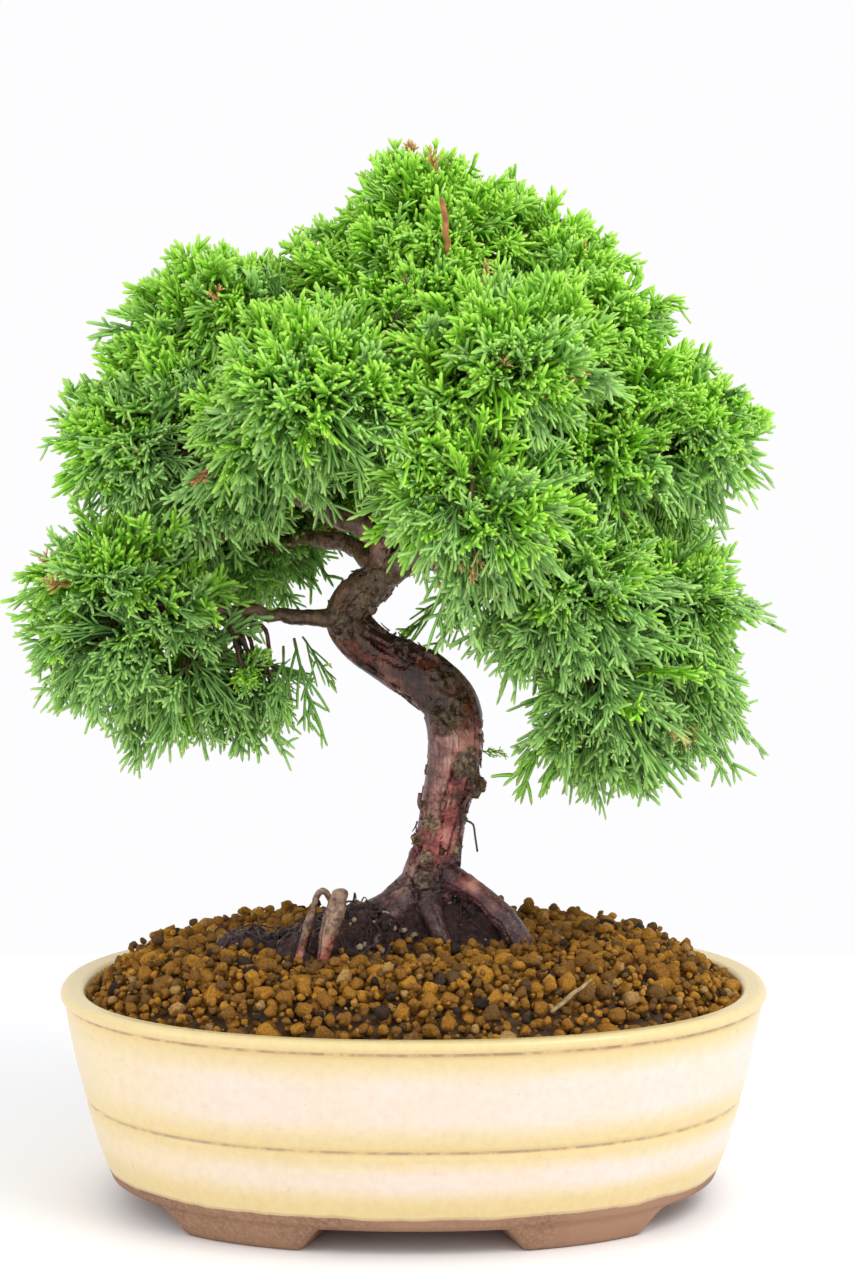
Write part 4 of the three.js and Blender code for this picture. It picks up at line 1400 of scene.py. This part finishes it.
TUFT_SPACING = 12.8
LEADER_SHARE, STRAY_SHARE, DEAD_SHARE = 0.16, 0.09, 0.012
SPRAYS_PER_PIECE = 215
for number, (node, lumps) in enumerate(SHOOT_MASSES.items()):
    rng = np.random.default_rng(900 + number)
    others = [lump for name, group in SHOOT_MASSES.items() if name != node for lump in group]
    fullness = [a * b * c for _, _, _, a, b, c in lumps]
    heart = np.average([lump[:3] for lump in lumps], axis=0, weights=fullness)
    feed, stem = feeding_stem(node)
    # tufts: each ends at the mass's outside and is fed by one twig from the branch
    tufts, outward = surface_places(lumps, others, TUFT_SPACING, rng)
    feet, ways, ups, sizes, kinds, tints = [], [], [], [], [], []
    for tuft, out in zip(tufts, outward):
        top = np.clip((tuft[2] - 150) / 120, 0, 1)
        fresh = np.clip(0.20 + 0.72 * top + 0.35 * out[2] + rng.normal(0, 0.24), 0.08, 1)
        droop = (1 - top) * 0.5
        nearest = stem[np.argmin(((stem - tuft) ** 2).sum(1))]
        way = out * 0.9 + (tuft - nearest) / 60 + np.array([0, 0, 0.5 * top - droop])
        way /= np.linalg.norm(way)
        leader = rng.uniform() < LEADER_SHARE
        outer = -3.2 + 4.5 * lattice_noise(tuft[None], 20, 77)[0] + rng.normal(0, 1.2) + 5.0 * leader
        tuft = tuft + out * outer
        for reach in rng.uniform(0.9, 1.1) * np.array([23, 20, 17, 14, 11]):
            root = tuft - way * reach
            if lump_field(root[None], lumps)[0] < 0.66:
                break
        near = stem[np.argmin(((stem - root) ** 2).sum(1) + 0.3 * ((stem - heart) ** 2).sum(1))]
        middle = (near + root) / 2 + rng.normal(0, 2.5, 3)
        twig = smooth_path([(*near, 0.9), (*middle, 0.7), (*root, 0.55), (*(root + way * 6), 0.45)], 2.2)
        twig[:, :3] += 0.8 * wander(twig[:, :3], 5, 60)
        twig[0, :3] = near
        branch_parts.setdefault(feed, []).append(tube(twig[:, :3], twig[:, 3], 6)[:2])
        for _ in range(4 if leader else rng.integers(6, 10)):
            spread = way + rng.normal(0, 0.22 if leader else 0.52, 3)
            spread /= np.linalg.norm(spread)
            dead = rng.uniform() < DEAD_SHARE
            stray = rng.uniform() < STRAY_SHARE and not dead
            long_one = (stray or rng.uniform() > 0.10 + 0.95 * fresh) and not dead
            kind = rng.integers(0, KINDS) + (KINDS if long_one else 0)
            size = 0.5 if dead else rng.uniform(0.80, 1.10)
            end = reach - 8.0 * rng.uniform(0, 1) ** 1.6 + 2.0 + 5.0 * stray
            size = min(size, (end + 3) / SPRAY_REACH[kind])
            feet.append(root + spread * (end - SPRAY_REACH[kind] * size) + rng.normal(0, 0.6, 3))
            ways.append(spread)
            ups.append(out * 0.6 + np.array([0, 0, 1.0]) + rng.normal(0, 0.35, 3))
            kinds.append(kind)
            sizes.append(size)
            tints.append(0.01 if dead else np.clip(fresh - 0.16 * long_one + rng.normal(0, 0.27), 0.08, 1))
    for foot, way, kind, size, tint in LONE_SHOOTS.get(node, []):
        feet.append(np.array(foot, float))
        ways.append(np.array(way, float) / np.linalg.norm(way))
        ups.append(np.array([0, -1.0, 0.3]))
        kinds.append(kind)
        sizes.append(size)
        tints.append(tint)
    columns = feet, ways, ups, kinds, sizes, tints
    feet, ways, ups, kinds, sizes, tints = (np.array(column) for column in columns)
    halves = np.array_split(np.arange(len(kinds)), 1 + len(kinds) // SPRAYS_PER_PIECE)
    for half, chosen in enumerate(halves):
        turns = aim_turns(ways[chosen], rng.normal(0, 0.7, len(chosen)), ups[chosen])
        scale = np.repeat(sizes[chosen][:, None], 3, 1)
        shapes = [spray[:2] for spray in SPRAYS]
        points, faces, owner = copies(shapes, kinds[chosen], turns, scale, feet[chosen])
        of_kind = [(kinds[chosen] == kind).sum() for kind in range(len(SPRAYS))]
        ages = np.concatenate([np.tile(spray[2], count) for spray, count in zip(SPRAYS, of_kind)])
        # long sprays hang by their own weight
        hang = np.linalg.norm(points - feet[chosen][owner], axis=1)
        points[:, 2] -= 0.0042 * hang**2 * np.where(kinds[chosen][owner] >= KINDS, 1.0, 0.2)
        name = f"{node}_shoots_{half + 1}"
        mesh = mesh_of(name, points, faces)
        put_values(mesh, "age", ages)
        put_values(mesh, "tint", tints[chosen][owner])
        colour_map(mesh, tints[chosen][owner], ages)
        mesh.materials.append(shoots_green)
        shoots = new_mesh_object(name, mesh)
        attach(shoots, "root")
        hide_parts(node)

# a bare reddish stub of a dead leader stands in the crown
bare_line = [(5, -4, 256, 1.2), (9.2, -20, 262, 1.0), (9.2, -26.5, 268, 0.9), (8.0, -28.5, 280, 0.8)]
bare = smooth_path(bare_line, 0.6)
bare[:, :3] += 0.5 * lattice_noise(bare[:, :3], 2.5, 80)[:, None]
points, faces, _ = tube(bare[:, :3], bare[:, 3] * (1 + 0.3 * lattice_noise(bare[:, :3], 1.5, 81)), 12)
mesh = mesh_of("dead_leader", points, faces)
put_values(mesh, "age", 0.28 + 0.35 * lattice_noise(points, 1.5, 82))
put_values(mesh, "tint", np.full(len(points), 0.01))
mesh.materials.append(shoots_green)
leader_stub = new_mesh_object("dead_leader", mesh)
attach(leader_stub, "root")
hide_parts("trunk")

# the branches, with the twigs that feed the shoots
for node, parts in branch_parts.items():
    points, faces = joined(parts)
    mesh = mesh_of(node + "_wood", points, faces)
    wood = new_mesh_object(node + "_twigs" if node == "trunk" else node + "_wood", mesh)
    out = normals_of(mesh)
    rise = 0.25 * lattice_noise(points, 1.6, 70) + 0.12 * lattice_noise(points, 0.8, 71)
    move_points(mesh, points + out * rise[:, None])
    put_values(mesh, "plate", smoothstep(-0.2, 0.3, lattice_noise(points, 3.0, 72)))
    put_values(mesh, "burr", 0.45 + 0.4 * lattice_noise(points, 5, 73))
    put_values(mesh, "crack", smoothstep(0.3, 0.6, lattice_noise(points, 1.4, 74)))
    mesh.materials.append(branch_bark)
    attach(wood, "root")
    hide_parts(node)

# ---------------------------------------------------------------- dry twig
# A short bit of dry straw that has fallen on the soil near the front right of the rim.
straw_path = smooth_path([(36.5, -68, 66.6, 0.5), (41.5, -63, 69.6, 0.62), (47.5, -57.5, 73.2, 0.34)], 0.6)
straw_path[:, :3] += 0.25 * wander(straw_path[:, :3], 3, 90)
straw_points, straw_faces, _ = tube(straw_path[:, :3], straw_path[:, 3], 10)
straw = new_mesh_object("dry_twig", mesh_of("dry_twig", straw_points, straw_faces))
straw_look = two_tone("dry_straw", 500, 4, (0.16, 0.10, 0.045), (0.42, 0.29, 0.14), 0.7, 0.4, 0.3)
straw.data.materials.append(straw_look.material)
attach(straw, "root")
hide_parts("fallen_twig")
